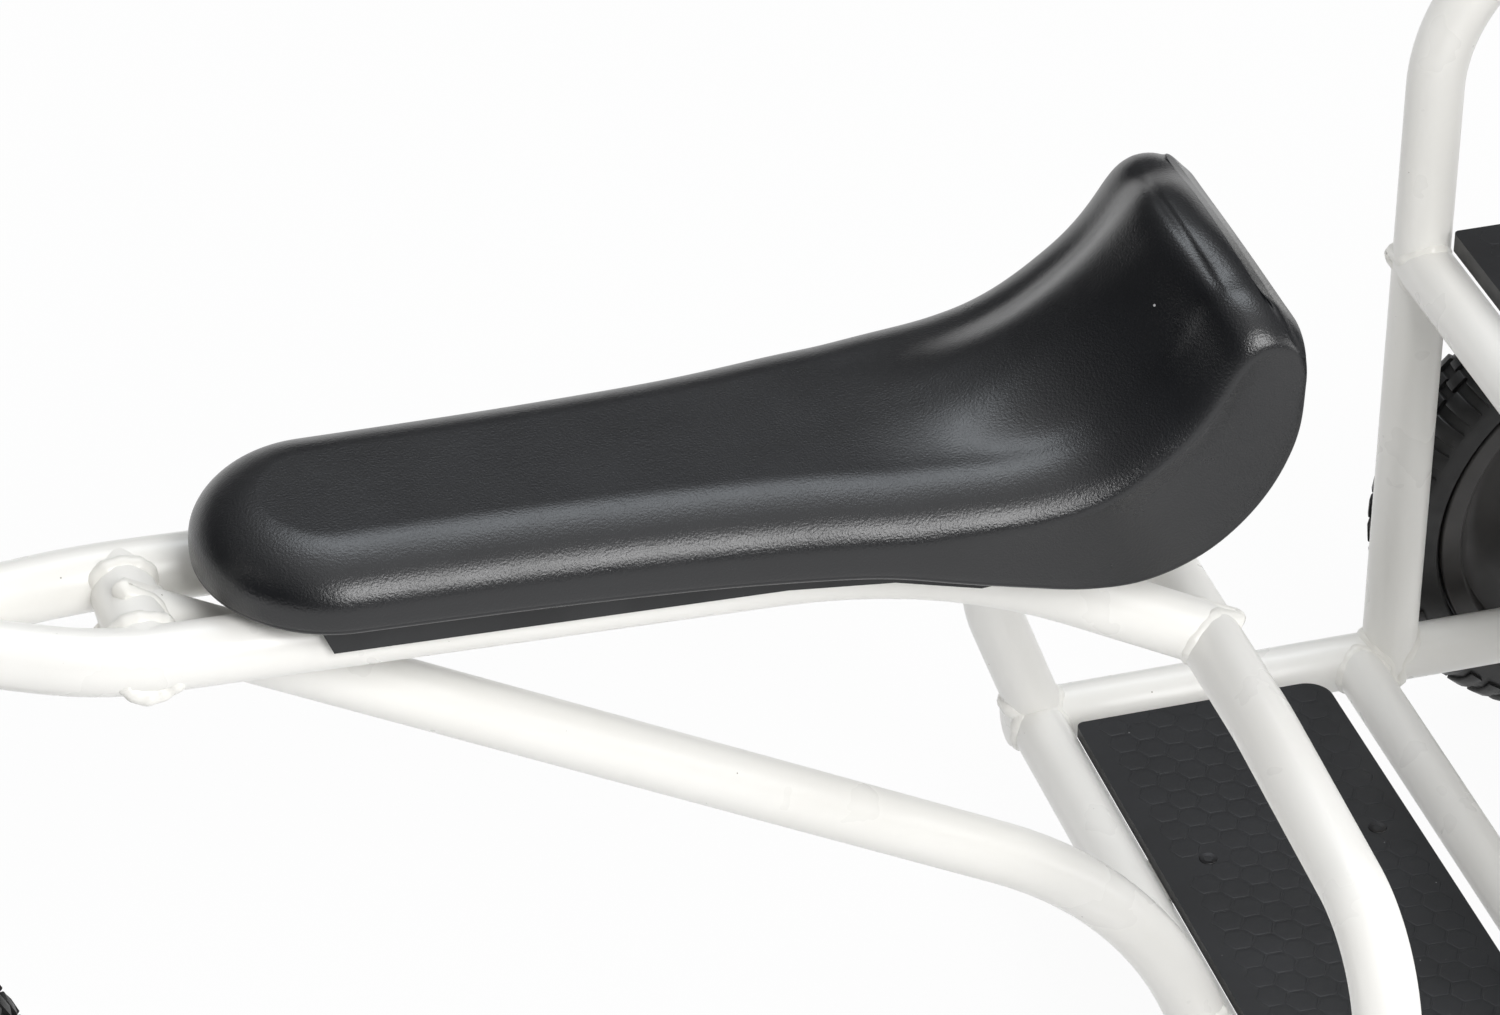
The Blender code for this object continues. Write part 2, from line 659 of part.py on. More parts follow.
def build_bench():
    tubes = (
        ("bench_front_tube", BENCH_FRONT, TUBE_RADIUS),
        ("bench_rear_tube", BENCH_REAR, CROSS_TUBE_RADIUS),
        ("backrest_tube", BACK_TUBE, CROSS_TUBE_RADIUS),
    )
    for name, route, radius in tubes:
        tube = add_tube(name, route, radius, "powder_coat", TRICYCLE)
        for side, sign in SIDES:
            cope(tube, f"loop_{side}", on_side(LOOP, sign), TUBE_RADIUS, TRICYCLE)
    corner = BENCH_BOARD_CORNER
    low = (UPRIGHT_X + BENCH_BOARD_SETBACK, -BENCH_BOARD_HALF_WIDTH)
    high = (BENCH_REAR[0].x - BENCH_BOARD_REAR_GAP, BENCH_BOARD_HALF_WIDTH)
    outline = rounded_rectangle(low, high, (0.003, corner, corner, 0.003))
    mesh = plate_mesh(outline, BENCH_BOARD_THICKNESS)
    place = (0.0, 0.0, BENCH_TUBE_TOP_Z + GAP + BENCH_BOARD_THICKNESS / 2)
    board = add_piece("bench_board", mesh, "film_faced_board", TRICYCLE, place)
    bevel(board, 0.001, segments=1)
    size = (BENCH_REAR[0].x - BENCH_FRONT[0].x, STRIP_WIDTH, STRIP_THICKNESS)
    for side, sign in SIDES:
        middle_x = (BENCH_REAR[0].x + BENCH_FRONT[0].x) / 2
        where = (middle_x, sign * BENCH_STRIP_Y, BENCH_TUBE_TOP_Z - STRIP_THICKNESS / 2)
        strip = add_piece(f"bench_strip_{side}", box_mesh(size), "powder_coat", TRICYCLE, where)
        cope(strip, "front", BENCH_FRONT, TUBE_RADIUS, TRICYCLE)
        cope(strip, "rear", BENCH_REAR, CROSS_TUBE_RADIUS, TRICYCLE)


def leaning_place(z, offset):
    """A point this far in front of the rear legs' leaning plane, at this height on the plane."""
    x = rear_leg_x(z) - offset * math.cos(REAR_LEG_LEAN)
    return Vector((x, 0.0, z + offset * math.sin(REAR_LEG_LEAN)))


def build_backrest():
    """Two flat strips on the fronts of the two rear tubes, and the board screwed to them."""
    lean = (0.0, REAR_LEG_LEAN, 0.0)
    strip_offset = CROSS_TUBE_RADIUS + GAP + STRIP_THICKNESS / 2
    height = (BACK_STRIP_TOP_Z - BACK_STRIP_BOTTOM_Z) / math.cos(REAR_LEG_LEAN)
    place = leaning_place((BACK_STRIP_TOP_Z + BACK_STRIP_BOTTOM_Z) / 2, strip_offset)
    for side, sign in SIDES:
        mesh = box_mesh((STRIP_THICKNESS, STRIP_WIDTH, height))
        where = (place.x, sign * BACK_STRIP_Y, place.z)
        add_piece(f"backrest_strip_{side}", mesh, "powder_coat", TRICYCLE, where, lean)
    board_offset = strip_offset + (STRIP_THICKNESS + BENCH_BOARD_THICKNESS) / 2 + GAP
    half_height = (BACK_BOARD_TOP_Z - BACK_BOARD_BOTTOM_Z) / 2 / math.cos(REAR_LEG_LEAN)
    corner = BACK_BOARD_CORNER
    low, high = (-half_height, -BACK_BOARD_HALF_WIDTH), (half_height, BACK_BOARD_HALF_WIDTH)
    mesh = plate_mesh(rounded_rectangle(low, high, (corner,) * 4), BENCH_BOARD_THICKNESS)
    mesh.transform(Matrix.Rotation(math.pi / 2, 4, "Y"))
    place = leaning_place((BACK_BOARD_TOP_Z + BACK_BOARD_BOTTOM_Z) / 2, board_offset)
    board = add_piece("backrest_board", mesh, "film_faced_board", TRICYCLE, place, lean)
    bevel(board, 0.001, segments=1)


def build_axle_brackets():
    """Plates that stand on the side tubes and carry the axle tube in a round eye."""
    head_z = REAR_WHEEL_RADIUS - PLATFORM_Z
    drop = math.degrees(math.atan2(head_z, BRACKET_HALF_BASE))
    outline = arc_points((0.0, head_z), BRACKET_HEAD_RADIUS, 180 - drop, drop, 10)
    outline += [(BRACKET_HALF_BASE, 0.0), (-BRACKET_HALF_BASE, 0.0)]
    on_edge = (math.pi / 2, 0.0, 0.0)
    for side, sign in SIDES:
        place = (REAR_AXLE_X, sign * HOOP_HALF_WIDTH, PLATFORM_Z)
        mesh = plate_mesh(outline, BRACKET_THICKNESS)
        bracket = add_piece(f"axle_bracket_{side}", mesh, "powder_coat", TRICYCLE, place, on_edge)
        cope(bracket, "side_tube", on_side(SIDE_TUBE, sign), TUBE_RADIUS, TRICYCLE)
        eye = rod_profile(AXLE_TUBE_RADIUS + GAP, -REAR_WHEEL_Y, REAR_WHEEL_Y)
        mesh = turned_mesh(eye, SMALL_TURN_STEPS, closed=False)
        centre = (REAR_AXLE_X, 0.0, REAR_WHEEL_RADIUS)
        boolean(bracket, add_cutter(f"axle_bracket_{side}_eye", mesh, TRICYCLE, centre, on_edge))


# Rear axle and wheels


def tyre_profile(radius, bead_radius):
    """Half of a solid tyre's section on one side of its mid-plane, from the bead out to the tread's middle."""
    wall = TYRE_HALF_WIDTH
    seat = 0.66 * wall
    flange = bead_radius + 0.0065
    return [
        (bead_radius, seat),
        (flange, seat),
        (bead_radius + 0.40 * (radius - bead_radius), wall),
        (radius - 0.006, 0.92 * wall),
        (radius, 0.55 * wall),
    ]


def rim_profile(bead_radius, bore, hub_half_length):
    """Half of a moulded rim's section: hub, disc and the channel that holds the tyre's bead."""
    wall = TYRE_HALF_WIDTH
    seat = 0.66 * wall
    flange = bead_radius + 0.0065 - RUNNING_GAP
    return [
        (bore, hub_half_length),
        (HUB_RADIUS, hub_half_length),
        (HUB_RADIUS + 0.008, 0.0050),
        (bead_radius - 0.018, 0.0030),
        (bead_radius - 0.006, 0.84 * wall),
        (flange, 0.84 * wall),
        (flange, seat + RUNNING_GAP),
        (bead_radius - RUNNING_GAP, seat + RUNNING_GAP),
    ]


def both_halves(half):
    return half + [(radius, -height) for radius, height in reversed(half)]


def wheel_pieces(prefix, suffix, radius, bead_radius, bore, hub_half_length, parent):
    """A tyre and its rim about the parent's Y axis."""
    across = (math.pi / 2, 0.0, 0.0)
    tyre = turned_mesh(both_halves(tyre_profile(radius, bead_radius)), WHEEL_STEPS, closed=True)
    add_piece(f"{prefix}_tyre{suffix}", tyre, "tyre_rubber", parent, (0, 0, 0), across)
    rim_half = rim_profile(bead_radius, bore, hub_half_length)
    rim = turned_mesh(both_halves(rim_half), WHEEL_STEPS, closed=True)
    add_piece(f"{prefix}_rim{suffix}", rim, "rim_plastic", parent, (0, 0, 0), across)


def build_rear_axle():
    tube_half = REAR_WHEEL_Y - HUB_HALF_LENGTH - 3 * GAP
    place = (REAR_AXLE_X, 0.0, REAR_WHEEL_RADIUS)
    across = (math.pi / 2, 0.0, 0.0)
    tube = ring_profile(AXLE_RADIUS + GAP, AXLE_TUBE_RADIUS, -tube_half, tube_half)
    mesh = turned_mesh(tube, SMALL_TURN_STEPS, closed=True)
    add_piece("rear_axle_tube", mesh, "powder_coat", TRICYCLE, place, across)
    axle_half = REAR_WHEEL_Y + HUB_HALF_LENGTH + 0.75 * AXLE_NUT_LENGTH
    axle = turned_mesh(rod_profile(AXLE_RADIUS, -axle_half, axle_half), SMALL_TURN_STEPS, closed=False)
    add_piece("rear_axle", axle, "zinc_steel", TRICYCLE, place, across)


def hub_bush_profile():
    """A plastic sleeve bearing with a flange at its outer end."""
    inner = AXLE_RADIUS + GAP
    half = HUB_HALF_LENGTH
    flange = 0.0015
    return [
        (inner, half + flange + GAP),
        (HUB_BUSH_RADIUS + 0.005, half + flange + GAP),
        (HUB_BUSH_RADIUS + 0.005, half + GAP),
        (HUB_BUSH_RADIUS, half + GAP),
        (HUB_BUSH_RADIUS, -half),
        (inner, -half),
    ]


def nut_mesh(length, radius):
    """A hexagon cap nut along Z from Z = 0."""
    corners = [(radius * math.cos(math.radians(60 * i)), radius * math.sin(math.radians(60 * i))) for i in range(6)]
    shape = bmesh.new()
    bottom = [shape.verts.new((x, y, 0.0)) for x, y in corners]
    top = [shape.verts.new((x, y, length)) for x, y in corners]
    shape.faces.new(reversed(bottom))
    shape.faces.new(top)
    for i in range(6):
        after = (i + 1) % 6
        shape.faces.new((bottom[i], bottom[after], top[after], top[i]))
    mesh = bpy.data.meshes.new("nut")
    shape.to_mesh(mesh)
    shape.free()
    return mesh


def build_rear_wheels():
    for side, sign in SIDES:
        place = (REAR_AXLE_X, sign * REAR_WHEEL_Y, REAR_WHEEL_RADIUS)
        wheel = add_empty(f"rear_wheel_{side}", TRICYCLE, place)
        bore = HUB_BUSH_RADIUS + GAP
        wheel_pieces(
            "rear", f"_{side}", REAR_WHEEL_RADIUS, REAR_BEAD_RADIUS, bore, HUB_HALF_LENGTH, wheel
        )
        outwards = (-sign * math.pi / 2, 0.0, 0.0)
        bush = turned_mesh(hub_bush_profile(), SMALL_TURN_STEPS, closed=True)
        add_piece(f"hub_bush_{side}", bush, "black_plastic", wheel, (0, 0, 0), outwards)
        start = sign * (REAR_WHEEL_Y + HUB_HALF_LENGTH + 0.0015 + 2 * GAP + RUNNING_GAP)
        nut_place = (REAR_AXLE_X, start, REAR_WHEEL_RADIUS)
        depth = 0.8 * AXLE_NUT_LENGTH
        mesh = nut_mesh(AXLE_NUT_LENGTH, AXLE_NUT_RADIUS)
        nut = add_piece(f"axle_nut_{side}", mesh, "zinc_steel", TRICYCLE, nut_place, outwards)
        bevel(nut, 0.0012, segments=1)
        bore_mesh = turned_mesh(rod_profile(AXLE_RADIUS + GAP, -depth, depth), SMALL_TURN_STEPS, closed=False)
        boolean(nut, add_cutter(f"axle_nut_{side}_bore", bore_mesh, TRICYCLE, nut_place, outwards))


# Saddle


def saddle_paths():
    """The saddle's upper and lower outlines in the mid-plane, as (x, z) corners with bends."""
    lift = TUBE_RADIUS + SADDLE_PLATE_THICKNESS + 2 * GAP
    nose_under = rail_straight_z(SADDLE_NOSE_X) + lift
    upper = [
        (SADDLE_NOSE_X, SADDLE_TOP_Z),
        (-0.020, SADDLE_TOP_Z),
        (0.1293, SADDLE_TOP_Z + 0.0063),
        (0.1884, SADDLE_TOP_Z + 0.0663),
        (0.2094, SADDLE_TOP_Z + 0.0644),
    ]
    under = [
        (SADDLE_NOSE_X, nose_under),
        (0.040, rail_straight_z(0.040) + lift),
        (0.120, SADDLE_TOP_Z - 0.0555),
        (0.218, SADDLE_TOP_Z - 0.0650),
        (0.2165, SADDLE_TOP_Z + 0.0520),
    ]
    paths = []
    for corners, radii in ((upper, (0.200, 0.104, 0.0155)), (under, (0.150, 0.100, 0.075))):
        points = rounded_path([(x, 0.0, z) for x, z in corners], radii)
        paths.append(points)
    return paths


def path_point(points, share):
    """The point at this share of the path's length."""
    lengths = [(b - a).length for a, b in zip(points, points[1:])]
    target = share * sum(lengths)
    for a, b, length in zip(points, points[1:], lengths):
        if target <= length:
            return a.lerp(b, target / length)
        target -= length
    return points[-1]


def split_at(points, x):
    """The path ahead of this x and the path behind it."""
    for i, (a, b) in enumerate(zip(points, points[1:])):
        if a.x <= x < b.x:
            cut = a.lerp(b, (x - a.x) / (b.x - a.x))
            return points[: i + 1] + [cut], [cut] + points[i + 1 :]
    raise ValueError("the path doesn't pass this x")


class SaddleShape:
    """Maps (s, y, share of the thickness) to the saddle: s runs from the nose along it and up its back."""

    def __init__(self):
        upper, under = saddle_paths()
        self.upper_seat, self.upper_back = split_at(upper, SADDLE_FAN_X)
        self.under_seat, self.under_back = split_at(under, SADDLE_FAN_X)
        self.seat_length = SADDLE_FAN_X - SADDLE_NOSE_X
        total = 0.0
        for path in (self.upper_back, self.under_back):
            total += sum((b - a).length for a, b in zip(path, path[1:]))
        self.back_length = total / 2
        self.length = self.seat_length + self.back_length

    def slice_ends(self, s):
        """The lowest and highest points of the slice at s, in the mid-plane."""
        if s <= self.seat_length:
            x = SADDLE_NOSE_X + s
            return self.at_x(self.under_seat, x), self.at_x(self.upper_seat, x)
        share = min(1.0, (s - self.seat_length) / self.back_length)
        return path_point(self.under_back, share), path_point(self.upper_back, share)

    @staticmethod
    def at_x(points, x):
        for a, b in zip(points, points[1:]):
            if a.x <= x <= b.x:
                return a.lerp(b, (x - a.x) / (b.x - a.x))
        return points[0] if x < points[0].x else points[-1]

    def point(self, s, y, above_under, below_top):
        """A point given by its height over the underside or its depth below the top, whichever is not None."""
        low, high = self.slice_ends(max(0.0, min(self.length, s)))
        thickness = (high - low).length
        scale = min(1.0, thickness / SADDLE_EDGE_HEIGHT)
        share = scale * above_under / thickness if below_top is None else 1 - scale * below_top / thickness
        spot = low.lerp(high, share)
        return Vector((spot.x, y, spot.z))


def saddle_half_width(s):
    share = max(0.0, min(1.0, (s - SADDLE_FLARE_START) / (SADDLE_FLARE_END - SADDLE_FLARE_START)))
    eased = share * share * (3 - 2 * share)
    return SADDLE_HALF_WIDTH + eased * (SADDLE_TAIL_HALF_WIDTH - SADDLE_HALF_WIDTH)


def saddle_outline(length):
    """Half of the saddle's outline laid flat, from the nose to the middle of the back's edge."""
    nose, corner = SADDLE_HALF_WIDTH, SADDLE_TAIL_CORNER
    points = []
    for i in range(9):
        angle = math.radians(90 * i / 8)
        points.append((nose * (1 - math.cos(angle)), nose * math.sin(angle)))
    straight = length - corner - nose
    stations = 13
    for i in range(1, stations):
        s = nose + straight * i / stations
        points.append((s, saddle_half_width(s)))
    for i in range(6):
        angle = math.radians(90 * i / 5)
        s = length - corner + corner * math.sin(angle)
        points.append((s, SADDLE_TAIL_HALF_WIDTH - corner + corner * math.cos(angle)))
    points.append((length, 0.55 * (SADDLE_TAIL_HALF_WIDTH - corner)))
    points.append((length, 0.0))
    return points


# The saddle's edge from the underside round to the top: inset, height over the underside, depth below the top
SADDLE_EDGE = (
    (0.0060, 0.0, None),
    (0.0015, 0.0015, None),
    (0.0, 0.0045, None),
    (0.0, None, 0.0180),
    (0.0009, None, 0.0130),
    (0.0040, None, 0.0083),
    (0.0085, None, 0.0053),
    (0.0130, None, 0.0035),
    (0.0200, None, 0.0011),
    (0.0280, None, 0.0),
)


def build_saddle():
    form = SaddleShape()
    half = saddle_outline(form.length)
    ring = half + [(s, -y) for s, y in reversed(half[1:-1])]
    count = len(ring)
    shape = bmesh.new()
    rings = []
    for inset, above_under, below_top in SADDLE_EDGE:
        row = []
        for i, (s, y) in enumerate(ring):
            before, after = ring[i - 1], ring[(i + 1) % count]
            along = Vector((after[0] - before[0], after[1] - before[1])).normalized()
            inward = Vector((along.y, -along.x))
            rear = max(0.0, -inward.x)
            depth = inset * (1 - (1 - SADDLE_RIM_INSET) * rear)
            place = form.point(s + inward.x * depth, y + inward.y * depth, above_under, below_top)
            row.append(shape.verts.new(place))
        rings.append(row)
    for lower, upper in zip(rings, rings[1:]):
        for i in range(count):
            j = (i + 1) % count
            shape.faces.new((lower[j], lower[i], upper[i], upper[j]))
    for row, turned in ((rings[0], False), (rings[-1], True)):
        for i in range(len(half) - 1):
            mirror_a, mirror_b = (count - i) % count, count - i - 1
            corners = [row[i], row[i + 1], row[mirror_b], row[mirror_a]]
            corners = [v for k, v in enumerate(corners) if v not in corners[:k]]
            shape.faces.new(corners[::-1] if turned else corners)
    bmesh.ops.recalc_face_normals(shape, faces=shape.faces)
    mesh = bpy.data.meshes.new("saddle")
    shape.to_mesh(mesh)
    shape.free()
    add_piece("saddle", mesh, "saddle_foam", TRICYCLE)


def rail_offset_line(lift, front_x, rear_x):
    """Side-view points parallel to the rail's centre line, this far above it, from the rear to the front."""
    found = []
    for before, corner, after in zip(RAIL, RAIL[1:], RAIL[2:]):
        for x in (rear_x, front_x):
            if corner.x < x <= before.x:
                spot = before.lerp(corner, (before.x - x) / (before.x - corner.x))
                found.append(spot + upward_normal(before - corner) * lift)
        if front_x < corner.x < rear_x:
            normal = (upward_normal(before - corner) + upward_normal(corner - after)).normalized()
            found.append(corner + normal * lift)
    return [(point.x, point.z) for point in found]


def upward_normal(along):
    return Vector((-along.z, 0.0, along.x)).normalized()


def build_saddle_plate():
    """A channel over both rails: its web under the foam and its flanges down their outer sides."""
    under = TUBE_RADIUS + GAP
    over = under + SADDLE_PLATE_THICKNESS
    on_edge = (math.pi / 2, 0.0, 0.0)
    front, rear = SADDLE_PLATE_FRONT_X, SADDLE_PLATE_REAR_X
    top = rail_offset_line(over, front, rear)
    bottom = rail_offset_line(SADDLE_PLATE_HANG, front + SADDLE_PLATE_NOSE_CUT, rear - SADDLE_PLATE_TAIL_CUT)
    mesh = plate_mesh(bottom + top[::-1], 2 * SADDLE_PLATE_HALF_WIDTH)
    plate = add_piece("saddle_base_plate", mesh, "black_plastic", TRICYCLE, (0, 0, 0), on_edge)
    ceiling = rail_offset_line(under, front - TUBE_RADIUS, rear + TUBE_RADIUS)
    floor = rail_offset_line(-under, front - TUBE_RADIUS, rear + TUBE_RADIUS)
    hollow = plate_mesh(floor + ceiling[::-1], 2 * (SADDLE_PLATE_HALF_WIDTH - SADDLE_PLATE_WALL))
    boolean(plate, add_cutter("saddle_plate_hollow", hollow, TRICYCLE, (0, 0, 0), on_edge))


def build_saddle_clamps():
    """Two flat plates across the undersides of the rails."""
    for name, x in zip(("front", "rear"), SADDLE_CLAMP_XS):
        drop = TUBE_RADIUS + GAP + SADDLE_CLAMP_THICKNESS / 2
        slope = math.atan(RAIL_RISE)
        where = (x - drop * math.sin(slope), 0.0, rail_straight_z(x) - drop * math.cos(slope))
        size = (SADDLE_CLAMP_LENGTH, 2 * SADDLE_CLAMP_HALF_WIDTH, SADDLE_CLAMP_THICKNESS)
        clamp = add_piece(f"saddle_clamp_{name}", box_mesh(size), "zinc_steel", TRICYCLE, where, (0, slope, 0))
        bevel(clamp, 0.0008, segments=1)


# Steering, built about its own axis: local Z runs up the steerer and local X to the rear


def steering_heights():
    """Where each piece on the steering axis ends."""
    crown_top = CROWN_BOTTOM + CROWN_HEIGHT
    head_bottom = crown_top + CUP_HEIGHT + 2 * GAP
    head_top = head_bottom + HEAD_TUBE_LENGTH
    nut_bottom = head_top + CUP_HEIGHT + 2 * GAP
    return crown_top, head_bottom, head_top, nut_bottom


STEERING = add_empty("steering", TRICYCLE, head_point(0.0), HEAD_LEAN)


def fork_leg_route(sign):
    corners = [
        (0.0, sign * FORK_HALF_WIDTH, CROWN_BOTTOM + CROWN_HEIGHT),
        (0.0, sign * FORK_HALF_WIDTH, FORK_KNEE_HEIGHT),
        (-RAKE, sign * FORK_HALF_WIDTH, 0.0),
    ]
    return rounded_path(corners, (FORK_KNEE_RADIUS,))


def build_fork():
    """Crown, steerer and two raked legs that end in round bearing eyes."""
    crown_top, head_bottom, head_top, nut_bottom = steering_heights()
    half_width = FORK_HALF_WIDTH + CROWN_HALF_DEPTH - CROWN_END_INSET
    low, high = (-CROWN_HALF_DEPTH, -half_width), (CROWN_HALF_DEPTH, half_width)
    outline = rounded_rectangle(low, high, (CROWN_HALF_DEPTH - 0.001,) * 4)
    place = (0.0, 0.0, CROWN_BOTTOM + CROWN_HEIGHT / 2)
    crown = add_piece("fork_crown", plate_mesh(outline, CROWN_HEIGHT), "powder_coat", STEERING, place)
    bevel(crown, 0.002, segments=1, angle=math.radians(60))
    bores = [("steerer", 0.0, STEERER_RADIUS), ("left", -FORK_HALF_WIDTH, FORK_LEG_RADIUS)]
    bores.append(("right", FORK_HALF_WIDTH, FORK_LEG_RADIUS))
    for name, y, radius in bores:
        profile = rod_profile(radius + GAP, -CROWN_HEIGHT, CROWN_HEIGHT)
        bore = turned_mesh(profile, SMALL_TURN_STEPS, closed=False)
        boolean(crown, add_cutter(f"crown_bore_{name}", bore, STEERING, (0.0, y, place[2])))
    steerer = rod_profile(STEERER_RADIUS, CROWN_BOTTOM, nut_bottom + HEADSET_NUT_HEIGHT)
    mesh = turned_mesh(steerer, SMALL_TURN_STEPS, closed=False)
    add_piece("steerer", mesh, "zinc_steel", STEERING)
    place = (0.0, 0.0, nut_bottom)
    mesh = nut_mesh(HEADSET_NUT_HEIGHT, HEADSET_NUT_RADIUS)
    nut = add_piece("headset_nut", mesh, "zinc_steel", STEERING, place)
    profile = rod_profile(STEERER_RADIUS + GAP, -HEADSET_NUT_HEIGHT, 2 * HEADSET_NUT_HEIGHT)
    bore = turned_mesh(profile, SMALL_TURN_STEPS, closed=False)
    boolean(nut, add_cutter("headset_nut_bore", bore, STEERING, place))
    for side, sign in SIDES:
        build_fork_leg(side, sign)


def build_fork_leg(side, sign):
    name, route = f"fork_leg_{side}", fork_leg_route(sign)
    leg = add_tube(name, route, FORK_LEG_RADIUS, "powder_coat", STEERING, THIN_TUBE_SIDES)
    eye_place = (-RAKE, sign * FORK_HALF_WIDTH, 0.0)
    across = (math.pi / 2, 0.0, 0.0)
    half = FORK_END_WIDTH / 2
    eye = turned_mesh(rod_profile(FORK_END_RADIUS, -half, half), SMALL_TURN_STEPS, closed=False)
    boolean(leg, add_cutter(f"fork_eye_{side}", eye, STEERING, eye_place, across), "UNION")
    bore = rod_profile(BEARING_RADIUS + GAP, -2 * half, 2 * half)
    bore_mesh = turned_mesh(bore, SMALL_TURN_STEPS, closed=False)
    boolean(leg, add_cutter(f"fork_bore_{side}", bore_mesh, STEERING, eye_place, across))
    bearing = ring_profile(CRANK_AXLE_RADIUS + GAP, BEARING_RADIUS, -half, half)
    mesh = turned_mesh(bearing, SMALL_TURN_STEPS, closed=True)
    add_piece(f"crank_bearing_{side}", mesh, "zinc_steel", STEERING, eye_place, across)


def handlebar_height():
    return steering_heights()[3] + HEADSET_NUT_HEIGHT + STEM_HEIGHT


def handlebar_route():
    bar_x = -STEM_REACH
    height = handlebar_height()
    half = [
        (bar_x, 0.060, height),
        (bar_x + 0.3 * HANDLEBAR_SWEEP, HANDLEBAR_HALF_WIDTH / 2, height + HANDLEBAR_RISE),
        (bar_x + HANDLEBAR_SWEEP, HANDLEBAR_HALF_WIDTH, height + HANDLEBAR_RISE),
    ]
    left = [(x, -y, z) for x, y, z in reversed(half)]
    return rounded_path(left + half, (0.045, 0.050, 0.050, 0.045))


def build_stem():
    """An upright tube on the steerer, a short arm forward and a sleeve round the handlebar."""
    start = steering_heights()[3] + HEADSET_NUT_HEIGHT + GAP
    height = handlebar_height()
    post = [Vector((0.0, 0.0, start)), Vector((0.0, 0.0, height))]
    stem = add_tube("stem", post, STEERER_RADIUS, "powder_coat", STEERING)
    arm = [Vector((0.0, 0.0, height - STEM_RADIUS)), Vector((-STEM_REACH, 0.0, height))]
    boolean(stem, add_cutter("stem_arm", tube_mesh(arm, STEM_RADIUS, THIN_TUBE_SIDES), STEERING), "UNION")
    half = STEM_CLAMP_HALF_WIDTH
    across = (math.pi / 2, 0.0, 0.0)
    place = (-STEM_REACH, 0.0, height)
    clamp = turned_mesh(rod_profile(STEM_CLAMP_RADIUS, -half, half), SMALL_TURN_STEPS, closed=False)
    boolean(stem, add_cutter("stem_clamp", clamp, STEERING, place, across), "UNION")
    bore = rod_profile(HANDLEBAR_RADIUS + GAP, -2 * half, 2 * half)
    bore_mesh = turned_mesh(bore, SMALL_TURN_STEPS, closed=False)
    boolean(stem, add_cutter("stem_bore", bore_mesh, STEERING, place, across))


def grip_profile():
    """A rubber grip from its closed outer end down to the flange."""
    bore = HANDLEBAR_RADIUS + GAP
    end = 0.004
    return [
        (0.0, end),
        (0.7 * GRIP_RADIUS, end),
        (GRIP_RADIUS, 0.3 * end),
        (GRIP_RADIUS, -GRIP_LENGTH + 0.006),
        (GRIP_FLANGE_RADIUS, -GRIP_LENGTH + 0.003),
        (GRIP_FLANGE_RADIUS, -GRIP_LENGTH),
        (bore, -GRIP_LENGTH),
        (bore, GAP),
        (0.0, GAP),
    ]


def build_handlebar():
    route = handlebar_route()
    add_tube("handlebar", route, HANDLEBAR_RADIUS, "powder_coat", STEERING, THIN_TUBE_SIDES)
    for side, tip, before in (("left", route[0], route[1]), ("right", route[-1], route[-2])):
        mesh = turned_mesh(grip_profile(), SMALL_TURN_STEPS, closed=False)
        outward = (tip - before).normalized()
        turn = outward.to_track_quat("Z", "Y").to_euler()
        add_piece(f"grip_{side}", mesh, "black_plastic", STEERING, tip, turn)


# Front wheel with its cranks, and the pedals


FRONT_WHEEL = add_empty("front_wheel", STEERING, (-RAKE, 0.0, 0.0), -HEAD_LEAN)


def crank_axle_profile():
    """The axle through the hub, with a collar on each side that keeps the wheel in the middle of the fork."""
    end = CRANK_INNER_Y + CRANK_THICKNESS
    collar_end = FORK_HALF_WIDTH - FORK_END_WIDTH / 2 - RUNNING_GAP
    collar_start = FRONT_HUB_HALF_LENGTH + GAP
    half = [
        (0.0, end),
        (CRANK_AXLE_RADIUS, end),
        (CRANK_AXLE_RADIUS, collar_end),
        (0.012, collar_end),
        (0.012, collar_start),
        (CRANK_AXLE_RADIUS, collar_start),
    ]
    return both_halves(half)


def crank_outline():
    """An arm that tapers from the axle's boss to the spindle's eye, along +X from the axle."""
    boss, eye = 0.016, 0.011
    outline = arc_points((0.0, 0.0), boss, 85, 275, 8)
    return outline + arc_points((CRANK_LENGTH, 0.0), eye, -85, 85, 6)


